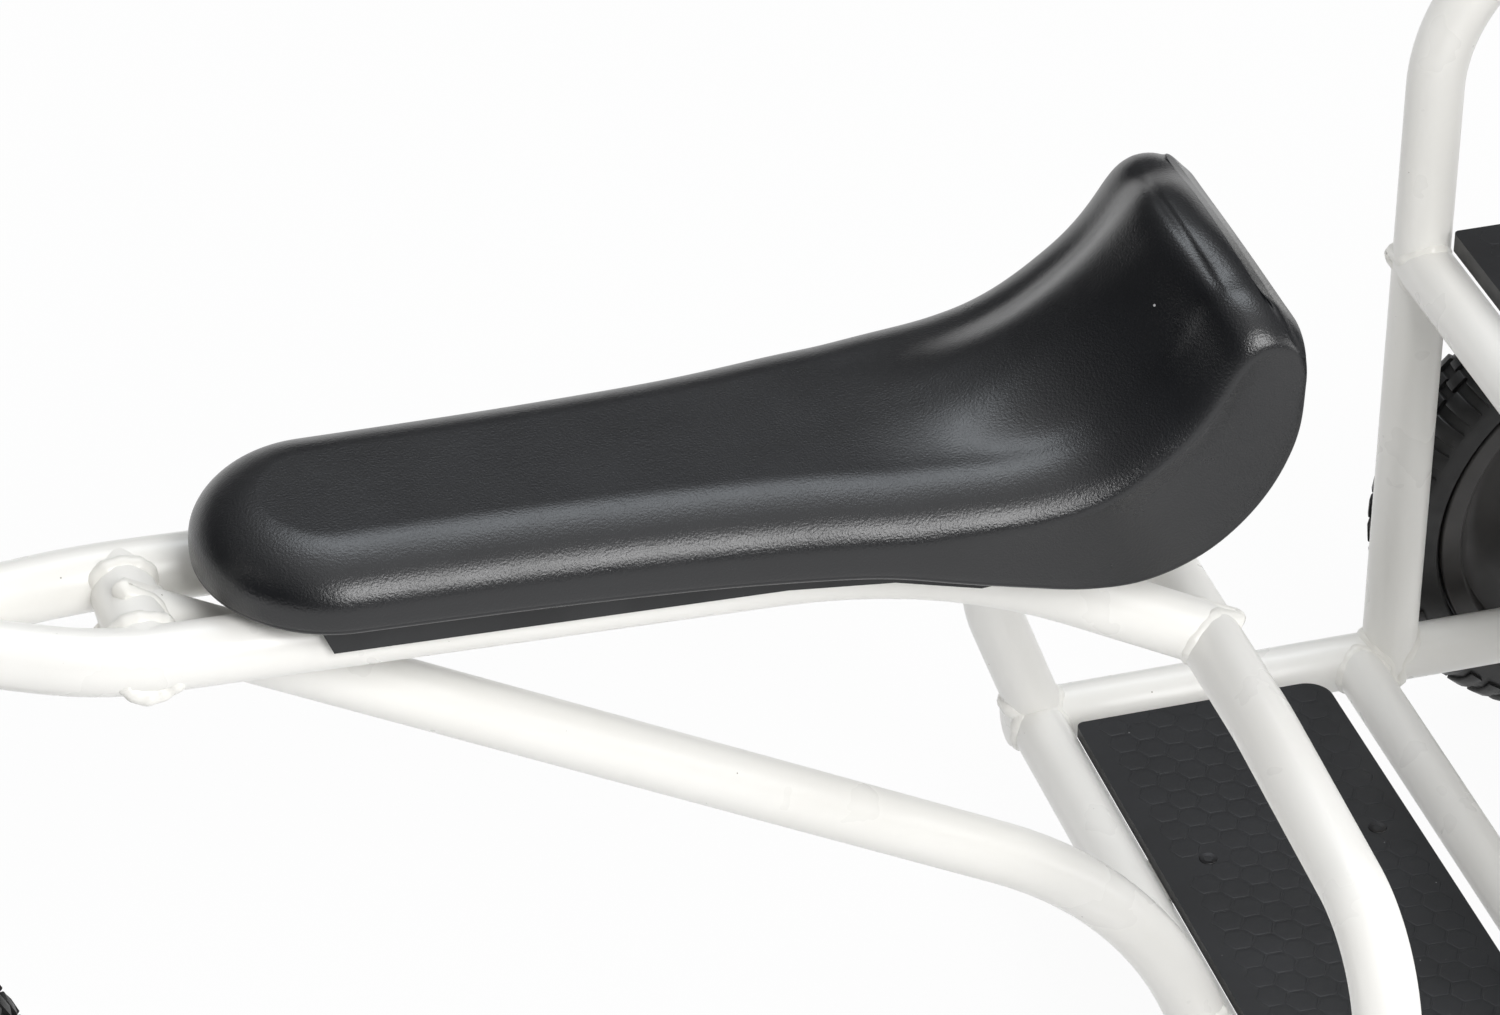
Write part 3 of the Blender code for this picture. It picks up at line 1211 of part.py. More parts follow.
def build_crank(side, sign):
    """One crank with its pedal spindle; the left crank points forward and the right one back."""
    middle = sign * (CRANK_INNER_Y + CRANK_THICKNESS / 2)
    on_edge = (math.pi / 2, 0.0, 0.0)
    mesh = plate_mesh(crank_outline(), CRANK_THICKNESS)
    if sign < 0:
        mesh.transform(Matrix.Rotation(math.pi, 4, "Z"))
    crank = add_piece(f"crank_{side}", mesh, "zinc_steel", FRONT_WHEEL, (0.0, middle, 0.0), on_edge)
    bevel(crank, 0.0015, segments=1, angle=math.radians(60))
    reach = sign * CRANK_LENGTH
    bore = turned_mesh(rod_profile(CRANK_AXLE_RADIUS + GAP, -0.02, 0.02), SMALL_TURN_STEPS, closed=False)
    boolean(crank, add_cutter(f"crank_bore_{side}", bore, FRONT_WHEEL, (0.0, middle, 0.0), on_edge))
    outwards = (-sign * math.pi / 2, 0.0, 0.0)
    head_start = CRANK_THICKNESS / 2 + 2 * PEDAL_CLEARANCE + PEDAL_LENGTH
    spindle = [
        (0.0, head_start + SPINDLE_HEAD_LENGTH),
        (SPINDLE_HEAD_RADIUS, head_start + SPINDLE_HEAD_LENGTH),
        (SPINDLE_HEAD_RADIUS, head_start),
        (SPINDLE_RADIUS, head_start),
        (SPINDLE_RADIUS, 0.0),
        (0.0, 0.0),
    ]
    spindle_mesh = turned_mesh(spindle, SMALL_TURN_STEPS, closed=False)
    place = (reach, middle, 0.0)
    boolean(crank, add_cutter(f"spindle_{side}", spindle_mesh, FRONT_WHEEL, place, outwards), "UNION")
    pedal_y = CRANK_INNER_Y + CRANK_THICKNESS + PEDAL_CLEARANCE + PEDAL_LENGTH / 2
    build_pedal(side, reach, sign * pedal_y)


def build_pedal(side, x, y):
    """A moulded block with tread ribs above and below, free to turn on the spindle."""
    half, rib = PEDAL_THICKNESS / 2, 0.003
    wide = PEDAL_WIDTH / 2
    outline = [(-wide, -half + 0.004), (-wide + 0.006, -half)]
    ribs = 4
    pitch = (2 * wide - 0.012) / (2 * ribs + 1)
    for i in range(1, 2 * ribs + 1):
        level = -half + (rib if i % 2 else 0.0)
        before = -half + (0.0 if i % 2 else rib)
        x_now = -wide + 0.006 + i * pitch
        outline += [(x_now, before), (x_now, level)]
    outline += [(wide - 0.006, -half), (wide, -half + 0.004)]
    outline += [(px, -pz) for px, pz in reversed(outline)]
    pivot = add_empty(f"pedal_pivot_{side}", FRONT_WHEEL, (x, y, 0.0))
    on_edge = (math.pi / 2, 0.0, 0.0)
    mesh = plate_mesh(outline, PEDAL_LENGTH)
    pedal = add_piece(f"pedal_{side}", mesh, "black_plastic", pivot, (0, 0, 0), on_edge)
    bore = rod_profile(SPINDLE_RADIUS + RUNNING_GAP, -PEDAL_LENGTH, PEDAL_LENGTH)
    bore_mesh = turned_mesh(bore, SMALL_TURN_STEPS, closed=False)
    boolean(pedal, add_cutter(f"pedal_bore_{side}", bore_mesh, pivot, (0, 0, 0), on_edge))


def build_front_wheel():
    bore = CRANK_AXLE_RADIUS + GAP
    wheel_pieces(
        "front", "", FRONT_WHEEL_RADIUS, FRONT_BEAD_RADIUS, bore, FRONT_HUB_HALF_LENGTH, FRONT_WHEEL
    )
    across = (math.pi / 2, 0.0, 0.0)
    mesh = turned_mesh(crank_axle_profile(), SMALL_TURN_STEPS, closed=False)
    add_piece("crank_axle", mesh, "zinc_steel", FRONT_WHEEL, (0, 0, 0), across)
    for side, sign in SIDES:
        build_crank(side, sign)


build_head_tube()
build_rails()
build_down_tube()
build_platform()
build_foot_board()
build_side_loops()
build_bench()
build_backrest()
build_axle_brackets()
build_rear_axle()
build_rear_wheels()
build_saddle()
build_saddle_plate()
build_saddle_clamps()
build_fork()
build_stem()
build_handlebar()
build_front_wheel()
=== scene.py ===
"""The looks of a three-seat tricycle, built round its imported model. Lengths are metres."""

import math
import random

import bmesh
import bpy
from mathutils import Matrix, Vector


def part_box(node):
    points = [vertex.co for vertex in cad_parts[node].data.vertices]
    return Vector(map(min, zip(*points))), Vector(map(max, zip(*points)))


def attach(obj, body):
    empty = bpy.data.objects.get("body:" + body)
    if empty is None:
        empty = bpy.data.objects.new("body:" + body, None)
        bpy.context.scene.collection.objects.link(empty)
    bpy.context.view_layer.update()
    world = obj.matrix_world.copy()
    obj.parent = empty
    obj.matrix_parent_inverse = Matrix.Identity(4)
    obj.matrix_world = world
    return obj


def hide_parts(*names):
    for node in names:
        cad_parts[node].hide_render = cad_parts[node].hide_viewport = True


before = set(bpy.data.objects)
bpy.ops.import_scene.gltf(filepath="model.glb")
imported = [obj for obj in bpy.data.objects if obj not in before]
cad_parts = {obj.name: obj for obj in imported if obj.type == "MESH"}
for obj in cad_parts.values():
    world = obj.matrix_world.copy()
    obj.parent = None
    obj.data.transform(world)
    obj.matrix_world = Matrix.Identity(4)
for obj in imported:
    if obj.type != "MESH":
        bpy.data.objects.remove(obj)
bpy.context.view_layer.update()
random.seed(7)

# Places are measured from a datum under the saddle; this moves them into the model's frame
REAR_WHEEL_LOW, REAR_WHEEL_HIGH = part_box("rear_tyre_left")
REAR_AXLE_X = 0.551
SHIFT = Vector(((REAR_WHEEL_LOW.x + REAR_WHEEL_HIGH.x) / 2 - REAR_AXLE_X, 0.0, 0.0))

TUBE, THIN_TUBE = 0.014, 0.0125
GAP = 0.0003
SIDES = (("left", -1), ("right", 1))
HALF_WIDTH = 0.252
PLATFORM_Z, ARMREST_Z = 0.084, 0.503
RAIL_Y, RAIL_SLOPE, CROSS_TUBE_X = 0.032, 0.0325, -0.264
HOOP_X, HOOP_Z = 0.197, 0.3345
FRONT_TUBE_X, LOOP_X, LEG_X = 0.2225, 0.414, 0.640
REAR_RADIUS, REAR_WHEEL_Y = 0.128, 0.300
CRANK = 0.100
ARC_STEP = math.radians(3)
ROUND = 56


# Node materials


class Nodes:
    """Short ways to add nodes to a tree."""

    def __init__(self, tree):
        self.tree = tree

    def node(self, kind, **values):
        made = self.tree.nodes.new(kind)
        for name, value in values.items():
            setattr(made, name, value)
        return made

    def feed(self, socket, value):
        """Links an output to a socket, or sets the socket to a number or a colour."""
        if isinstance(value, tuple):
            socket.default_value = (*value, 1.0)
        elif isinstance(value, (int, float)):
            socket.default_value = value
        else:
            self.tree.links.new(value, socket)

    def ramp(self, value, low, high, start=0.0, end=1.0, **values):
        made = self.node("ShaderNodeMapRange", **values)
        for name, number in (("From Min", low), ("From Max", high), ("To Min", start), ("To Max", end)):
            made.inputs[name].default_value = number
        self.feed(made.inputs["Value"], value)
        return made.outputs["Result"]

    def maths(self, kind, a, b, **values):
        made = self.node("ShaderNodeMath", operation=kind, **values)
        for socket, value in zip(made.inputs, (a, b)):
            self.feed(socket, value)
        return made.outputs[0]

    def mix(self, factor, a, b, data_type="RGBA"):
        made = self.node("ShaderNodeMix", data_type=data_type)
        for name, value in (("Factor", factor), ("A", a), ("B", b)):
            self.feed(made.inputs[name], value)
        return made.outputs["Result"]

    def direct_sight(self):
        """1 for camera, glossy and transmission rays, which all see the same surroundings."""
        ray = self.node("ShaderNodeLightPath").outputs
        mirrored_sight = self.maths("MAXIMUM", ray["Is Glossy Ray"], ray["Is Transmission Ray"])
        return self.maths("MAXIMUM", ray["Is Camera Ray"], mirrored_sight)


class Finish(Nodes):
    """A procedural material, its patterns placed by the piece's own coordinates."""

    def __init__(self, name, roughness=0.5, metallic=0.0, **sockets):
        self.material = bpy.data.materials.new(name)
        self.material.use_nodes = True
        super().__init__(self.material.node_tree)
        self.shader = self.tree.nodes["Principled BSDF"]
        for socket, value in {"Roughness": roughness, "Metallic": metallic, **sockets}.items():
            self.shader.inputs[socket].default_value = value
        self.place = self.node("ShaderNodeTexCoord").outputs["Object"]

    def noise(self, scale, detail=2.0, roughness=0.5, stretch=None):
        made = self.node("ShaderNodeTexNoise")
        for name, value in (("Scale", scale), ("Detail", detail), ("Roughness", roughness)):
            made.inputs[name].default_value = value
        place = self.place
        if stretch:
            mapping = self.node("ShaderNodeMapping")
            mapping.inputs["Scale"].default_value = stretch
            self.feed(mapping.inputs["Vector"], place)
            place = mapping.outputs["Vector"]
        self.feed(made.inputs["Vector"], place)
        return made.outputs["Fac"]

    def cells(self, scale):
        """Scattered cells: the distance to each one's middle and a random colour for each."""
        made = self.node("ShaderNodeTexVoronoi")
        made.inputs["Scale"].default_value = scale
        self.feed(made.inputs["Vector"], self.place)
        return made.outputs

    def dust(self, scale, share, size):
        """Sparse specks: 1 on a speck and 0 between them."""
        cells = self.cells(scale)
        chance = self.node("ShaderNodeSeparateColor")
        self.feed(chance.inputs["Color"], cells["Color"])
        chosen = self.maths("GREATER_THAN", chance.outputs["Red"], 1.0 - share)
        limit = self.maths("MULTIPLY", chance.outputs["Green"], size)
        near = self.maths("LESS_THAN", cells["Distance"], limit)
        return self.maths("MULTIPLY", chosen, near)

    def surface(self, colour, rough, *bumps):
        """The finished material, with a colour, a roughness and (height, strength, distance) bumps."""
        self.feed(self.shader.inputs["Base Color"], colour)
        self.feed(self.shader.inputs["Roughness"], rough)
        normal = None
        for height, strength, distance in bumps:
            made = self.node("ShaderNodeBump")
            made.inputs["Strength"].default_value = strength
            made.inputs["Distance"].default_value = distance
            self.feed(made.inputs["Height"], height)
            if normal:
                self.feed(made.inputs["Normal"], normal)
            normal = made.outputs["Normal"]
        self.feed(self.shader.inputs["Normal"], normal)
        return self.material


def powder_coat(name, clean, aged):
    finish = Finish(name, IOR=1.5)
    patches = finish.ramp(finish.noise(9.0, 4.0), 0.35, 0.75)
    specks = finish.dust(210.0, 0.05, 0.10)
    colour = finish.mix(specks, finish.mix(patches, clean, aged), (0.34, 0.31, 0.27))
    rough = finish.ramp(finish.noise(26.0, 3.0), 0.3, 0.7, 0.26, 0.33)
    orange_peel = (finish.noise(330.0, 2.0), 0.025, 0.0006)
    return finish.surface(colour, rough, orange_peel, (finish.noise(2400.0, 1.0), 0.03, 0.0002))


def saddle_skin():
    finish = Finish("saddle_skin", IOR=1.60)
    tone = finish.ramp(finish.noise(14.0, 4.0), 0.3, 0.75)
    base = finish.mix(tone, (0.0058, 0.0062, 0.0074), (0.0088, 0.0094, 0.0112))
    scuffs = finish.ramp(finish.noise(46.0, 8.0, 0.75, (1.0, 9.0, 9.0)), 0.72, 0.80)
    worn = finish.mix(scuffs, base, (0.030, 0.031, 0.034))
    colour = finish.mix(finish.dust(95.0, 0.085, 0.060), worn, (0.42, 0.42, 0.43))
    rough = finish.ramp(finish.noise(31.0, 5.0), 0.25, 0.8, 0.26, 0.34)
    grain = (finish.noise(950.0, 2.0, 0.6), 0.60, 0.0003)
    return finish.surface(colour, rough, grain, (finish.noise(60.0, 3.0), 0.05, 0.0010))


def moulded_plastic(name, dark, roughness, grain=1700.0):
    finish = Finish(name, IOR=1.46)
    lighter = tuple(1.6 * value + 0.004 for value in dark)
    colour = finish.mix(finish.ramp(finish.noise(35.0, 5.0), 0.3, 0.8), dark, lighter)
    rough = finish.ramp(finish.noise(60.0, 4.0), 0.3, 0.7, roughness - 0.05, roughness + 0.07)
    return finish.surface(colour, rough, (finish.cells(grain)["Distance"], 0.18, 0.0002))


def board_film():
    finish = Finish("board_film", IOR=1.5)
    tone = finish.ramp(finish.noise(22.0, 6.0, 0.6), 0.3, 0.75)
    base = finish.mix(tone, (0.0085, 0.0088, 0.0100), (0.0150, 0.0156, 0.0178))
    colour = finish.mix(finish.dust(170.0, 0.10, 0.075), base, (0.20, 0.20, 0.20))
    rough = finish.ramp(finish.noise(48.0, 5.0), 0.3, 0.75, 0.40, 0.56)
    return finish.surface(colour, rough, (finish.noise(900.0, 3.0), 0.10, 0.0003))


def tyre_rubber():
    finish = Finish("tyre_rubber", IOR=1.5)
    tone = finish.ramp(finish.noise(28.0, 6.0, 0.65), 0.35, 0.8)
    colour = finish.mix(tone, (0.0085, 0.0085, 0.0090), (0.0240, 0.0235, 0.0230))
    rough = finish.ramp(finish.noise(70.0, 4.0), 0.3, 0.75, 0.36, 0.62)
    return finish.surface(colour, rough, (finish.noise(700.0, 4.0), 0.22, 0.0004))


def plated_steel(name, colour, roughness):
    finish = Finish(name, metallic=1.0)
    warm = (colour[0], 0.97 * colour[1], 0.90 * colour[2])
    tinted = finish.mix(finish.ramp(finish.noise(40.0, 5.0), 0.3, 0.75), colour, warm)
    streaks = finish.noise(240.0, 4.0, 0.6, (1.0, 1.0, 14.0))
    rough = finish.ramp(streaks, 0.3, 0.7, roughness, roughness + 0.16)
    return finish.surface(tinted, rough, (finish.noise(520.0, 3.0, 0.5, (1.0, 1.0, 9.0)), 0.06, 0.0002))


# Each material with the slot of its pieces
COAT = (powder_coat("powder_coat", (0.858, 0.848, 0.818), (0.832, 0.819, 0.780)), "powder_coat")
WELD = (powder_coat("powder_coat_on_welds", (0.850, 0.838, 0.800), (0.815, 0.798, 0.745)), "powder_coat")
SKIN = (saddle_skin(), "saddle_foam")
PLASTIC = (moulded_plastic("black_plastic", (0.013, 0.0135, 0.0145), 0.42), "black_plastic")
GRIP_RUBBER = (moulded_plastic("grip_rubber", (0.012, 0.012, 0.0125), 0.60, 900.0), "black_plastic")
RIM = (moulded_plastic("rim_plastic", (0.030, 0.028, 0.027), 0.36), "wheel_rim")
FILM = (board_film(), "film_faced_board")
RUBBER = (tyre_rubber(), "tyre_rubber")
STEEL = (plated_steel("zinc_steel", (0.60, 0.61, 0.62), 0.24), "zinc_steel")
BLACK_STEEL = (plated_steel("blackened_screw", (0.055, 0.055, 0.058), 0.34), "zinc_steel")


# Mesh builders


def as_points(corners):
    return [Vector(corner) for corner in corners]


def rounded_path(corners, radii):
    """Points along straight runs through the corners, with an arc at each inner corner."""
    corners = as_points(corners)
    points = [corners[0]]
    for before, corner, after, radius in zip(corners, corners[1:], corners[2:], radii):
        arrive = (corner - before).normalized()
        leave = (after - corner).normalized()
        turn = arrive.angle(leave)
        start = corner - arrive * radius * math.tan(turn / 2)
        centre = corner + (leave - arrive).normalized() * (radius / math.cos(turn / 2))
        axis = arrive.cross(leave).normalized()
        pieces = max(2, math.ceil(turn / ARC_STEP))
        for i in range(pieces + 1):
            points.append(centre + Matrix.Rotation(turn * i / pieces, 3, axis) @ (start - centre))
    points.append(corners[-1])
    return points


def mirrored(points):
    return [Vector((point.x, -point.y, point.z)) for point in points]


def both_sides(half):
    """A whole route from its corners on the right."""
    return [(x, -y, z) for x, y, z in reversed(half)] + half


def new_mesh(name, vertices, faces, smooth=True, sharp=40.0):
    mesh = bpy.data.meshes.new(name)
    mesh.from_pydata([tuple(v) for v in vertices], [], faces)
    shape = bmesh.new()
    shape.from_mesh(mesh)
    bmesh.ops.recalc_face_normals(shape, faces=shape.faces)
    shape.to_mesh(mesh)
    shape.free()
    if smooth:
        mesh.shade_smooth()
        mesh.set_sharp_from_angle(angle=math.radians(sharp))
    return mesh


def ring_faces(rows, wrap=False):
    """Faces between rows of vertices that each run round once. A row of one vertex is a point."""
    faces = []
    for a, b in zip(rows, rows[1:] + rows[:1] if wrap else rows[1:]):
        steps = max(len(a), len(b))
        for k in range(steps):
            n = (k + 1) % steps
            corners = [a[k % len(a)], a[n % len(a)], b[n % len(b)], b[k % len(b)]]
            corners = [v for i, v in enumerate(corners) if v not in corners[:i]]
            if len(corners) > 2:
                faces.append(corners)
    return faces


def even_rows(count, steps, first=0):
    return [list(range(first + i * steps, first + (i + 1) * steps)) for i in range(count)]


def sweep_mesh(name, points, radii, sides=ROUND, closed=False):
    """A round sweep along points. radii is one number or one for each point."""
    count = len(points)
    if isinstance(radii, float):
        radii = [radii] * count
    vertices, side = [], None
    for i, (point, radius) in enumerate(zip(points, radii)):
        before = points[(i - 1) % count] if closed or i else points[0]
        after = points[(i + 1) % count] if closed or i < count - 1 else points[-1]
        tangent = (after - before).normalized()
        if side is None:
            side = tangent.orthogonal().normalized()
        side = (side - tangent * side.dot(tangent)).normalized()
        other = tangent.cross(side)
        for k in range(sides):
            angle = 2 * math.pi * k / sides
            vertices.append(point + (side * math.cos(angle) + other * math.sin(angle)) * radius)
    rows = even_rows(count, sides)
    caps = [] if closed else [rows[0], rows[-1]]
    return new_mesh(name, vertices, ring_faces(rows, closed) + caps)


def lathe_mesh(name, profile, steps=ROUND, sharp=40.0):
    """A turned shape about Z from (radius, height) pairs. Pairs on the axis close it."""
    vertices, rows = [], []
    for radius, height in profile:
        count = 1 if radius < 1e-7 else steps
        rows += even_rows(1, count, len(vertices))
        for k in range(count):
            angle = 2 * math.pi * k / steps
            vertices.append((radius * math.cos(angle), radius * math.sin(angle), height))
    whole = len(rows[0]) > 1 and len(rows[-1]) > 1
    return new_mesh(name, vertices, ring_faces(rows, whole), sharp=sharp)


def prism_mesh(name, outline, thickness):
    """A flat plate from an outline in XY, centred on Z = 0."""
    vertices = [(x, y, z) for z in (-thickness / 2, thickness / 2) for x, y in outline]
    low, high = even_rows(2, len(outline))
    return new_mesh(name, vertices, [low[::-1], high] + ring_faces([low, high]), sharp=30.0)


def arc(centre, radius, start, end, pieces):
    found = []
    for i in range(pieces + 1):
        angle = math.radians(start + (end - start) * i / pieces)
        found.append((centre[0] + radius * math.cos(angle), centre[1] + radius * math.sin(angle)))
    return found


def hexagon(radius, centre=(0.0, 0.0)):
    return arc(centre, radius, 0, 300, 5)


def both_ways(half):
    """A whole profile from its upper half."""
    return half + [(radius, -height) for radius, height in reversed(half)]


def rounded_rectangle(low, high, radii, pieces=10):
    (x0, y0), (x1, y1) = low, high
    a, b, c, d = radii
    return (
        arc((x0 + a, y0 + a), a, 180, 270, pieces)
        + arc((x1 - b, y0 + b), b, 270, 360, pieces)
        + arc((x1 - c, y1 - c), c, 0, 90, pieces)
        + arc((x0 + d, y1 - d), d, 90, 180, pieces)
    )


def centred_rectangle(half_x, half_y, radius, pieces):
    return rounded_rectangle((-half_x, -half_y), (half_x, half_y), (radius,) * 4, pieces)


def joined(name, pieces):
    """One mesh from several, each alone or with the matrix that places it."""
    shape = bmesh.new()
    for piece in pieces:
        mesh, matrix = piece if isinstance(piece, tuple) else (piece, Matrix.Identity(4))
        copy = mesh.copy()
        copy.transform(matrix)
        shape.from_mesh(copy)
        bpy.data.meshes.remove(copy)
    result = bpy.data.meshes.new(name)
    shape.to_mesh(result)
    shape.free()
    result.shade_smooth()
    result.set_sharp_from_angle(angle=math.radians(38))
    return result


def place(location, rotation=None):
    matrix = Matrix.Translation(Vector(location))
    return matrix @ rotation.to_4x4() if rotation else matrix


def turn(degrees, axis):
    return Matrix.Rotation(math.radians(degrees), 4, axis)


def add(name, mesh, finish, node=None, matrix=None, body="frame", bevel=0.0, segments=3):
    """A visible piece that rides on a body, in the datum's frame moved into the model's."""
    material, slot = finish
    mesh.name = name
    if matrix:
        mesh.transform(matrix)
    mesh.transform(Matrix.Translation(SHIFT))
    mesh.materials.clear()
    mesh.materials.append(material)
    piece = in_scene(name, mesh)
    if bevel:
        round_edges(piece, bevel, segments)
    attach(piece, body)
    if node:
        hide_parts(node)
    return piece


def in_scene(name, data):
    """A new object in the scene that shows a mesh, a lamp or a camera."""
    made = bpy.data.objects.new(name, data)
    bpy.context.scene.collection.objects.link(made)
    return made


def round_edges(piece, width, segments):
    modifier = piece.modifiers.new("rounded_edges", "BEVEL")
    modifier.width = width
    modifier.segments = segments
    modifier.limit_method = "ANGLE"
    modifier.angle_limit = math.radians(30)
    modifier.harden_normals = True


def keep(name, finish, bevel=0.0):
    """A CAD node that stays, with its finish."""
    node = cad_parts[name]
    for spot in node.material_slots:
        spot.material = finish[0]
    if bevel:
        round_edges(node, bevel, 2)


# Routes of the tubes


HEAD_LEAN = math.radians(10)
FRONT_AXLE = Vector((-0.4684, 0.0, 0.155))
RAKE = 0.012
UP_HEAD = Vector((math.sin(HEAD_LEAN), 0.0, math.cos(HEAD_LEAN)))
AHEAD = Vector((-math.cos(HEAD_LEAN), 0.0, math.sin(HEAD_LEAN)))
STEERING_FOOT = FRONT_AXLE - AHEAD * RAKE
STEERING = Matrix.Translation(STEERING_FOOT) @ Matrix.Rotation(HEAD_LEAN, 4, "Y")
LEG_LEAN = math.radians(8.4)


def leg_x(z):
    return LEG_X + math.tan(LEG_LEAN) * (z - PLATFORM_Z)


def rail_z(x):
    return 0.402 + RAIL_SLOPE * (0.0731 - x)


RAIL_HEAD_Z = 0.4348
RAIL_HEAD_X = STEERING_FOOT.x + (RAIL_HEAD_Z - STEERING_FOOT.z) * math.tan(HEAD_LEAN)
RAIL = rounded_path(
    [
        (HOOP_X, RAIL_Y, HOOP_Z),
        (0.0731, RAIL_Y, 0.402),
        (-0.2829, RAIL_Y, rail_z(-0.2829)),
        (-0.3429, 0.0128, 0.42157),
        (RAIL_HEAD_X, 0.0072, RAIL_HEAD_Z),
    ],
    (0.300, 0.150, 0.150),
)
HOOP_HALF = [
    (HOOP_X, 0.100, HOOP_Z),
    (HOOP_X, HALF_WIDTH, HOOP_Z - 0.0133),
    (HOOP_X, HALF_WIDTH, 0.160),
    (0.226, HALF_WIDTH, PLATFORM_Z),
]
HOOP_RADII = (0.200, 0.055, 0.080)
HOOP = rounded_path(both_sides(HOOP_HALF), HOOP_RADII[::-1] + HOOP_RADII)
LOOP = rounded_path(
    [
        (LOOP_X, HALF_WIDTH, PLATFORM_Z),
        (LOOP_X, HALF_WIDTH, ARMREST_Z),
        (leg_x(ARMREST_Z), HALF_WIDTH, ARMREST_Z),
        (LEG_X, HALF_WIDTH, PLATFORM_Z),
    ],
    (0.086, 0.086),
)
DOWN_TUBE = rounded_path(
    [(CROSS_TUBE_X, 0.0, rail_z(CROSS_TUBE_X)), (0.190, 0.0, 0.169), (0.219, 0.0, PLATFORM_Z)],
    (0.210,),
)
BENCH_TOP_Z = 0.334
BENCH_REAR_Z = BENCH_TOP_Z - THIN_TUBE


def across(x, z, half=HALF_WIDTH):
    return as_points([(x, -half, z), (x, half, z)])


CROSS_TUBES = {
    "rail_cross_tube": (across(CROSS_TUBE_X, rail_z(CROSS_TUBE_X), RAIL_Y), TUBE),
    "platform_front_tube": (across(FRONT_TUBE_X, PLATFORM_Z), TUBE),
    "platform_rear_tube": (across(0.3948, PLATFORM_Z), THIN_TUBE),
    "bench_front_tube": (across(LOOP_X, BENCH_TOP_Z - TUBE), TUBE),
    "bench_rear_tube": (across(leg_x(BENCH_REAR_Z), BENCH_REAR_Z), THIN_TUBE),
    "backrest_tube": (across(leg_x(0.400), 0.400), THIN_TUBE),
}


def build_frame_tubes():
    tubes = dict(CROSS_TUBES, grab_hoop=(HOOP, TUBE), down_tube=(DOWN_TUBE, TUBE))
    for side, sign in SIDES:
        for name, route in (("rail", RAIL), ("side_loop", LOOP)):
            tubes[f"{name}_{side}"] = (route if sign > 0 else mirrored(route), TUBE)
        tubes[f"platform_side_tube_{side}"] = side_tube(sign)
    for name, (route, radii) in tubes.items():
        add("coated_" + name, sweep_mesh(name, route, radii), COAT, name)


def side_tube(sign):
    """The route and radii of the low tube on one side, whose ends have slightly domed caps."""
    start, end, lip, crown = 0.2085, 0.662, 0.0006, 0.0028
    xs = (start, start + lip, start + crown, end - crown, end - lip, end)
    shares = (0.58, 0.90, 1.0, 1.0, 0.90, 0.58)
    return [Vector((x, sign * HALF_WIDTH, PLATFORM_Z)) for x in xs], [share * TUBE for share in shares]


# Weld beads


BEAD_SIZE = 0.0044
BEAD_SINK, BEAD_SINK_FLAT = 0.0025, 0.0012


def bead_points(end, along, radius, axis_point, axis, axis_radius):
    """The middle line of the bead between a tube and the wall that it leaves.

    along points away from the wall. The line is sunk so that only a fillet shows, and deeper where the two
    surfaces run flat into each other.
    """
    u = along.orthogonal().normalized()
    v = along.cross(u)
    found = []
    for k in range(72):
        angle = 2 * math.pi * k / 72
        radial = u * math.cos(angle) + v * math.sin(angle)
        start = end + radial * radius
        low, high = -0.01, 0.05
        for _ in range(28):
            middle = (low + high) / 2
            offset = start + along * middle - axis_point
            offset -= axis * offset.dot(axis)
            if offset.length < axis_radius:
                low = middle
            else:
                high = middle
        normal = start + along * high - axis_point
        normal -= axis * normal.dot(axis)
        normal.normalize()
        sink = BEAD_SINK + BEAD_SINK_FLAT * max(0.0, radial.dot(normal))
        found.append(start + along * high - (radial + normal).normalized() * sink)
    return found


def bead_mesh(seam, size=BEAD_SIZE):
    """A fused bead with the ripples that the torch leaves."""
    phase = random.random() * 6.28
    radii = []
    for k in range(len(seam)):
        ripple = 0.05 * math.sin(1.1 * k + phase) + 0.08 * math.sin(0.41 * k + 2 * phase)
        radii.append(size * (1 + ripple))
    return sweep_mesh("bead", seam, radii, 14, closed=True)


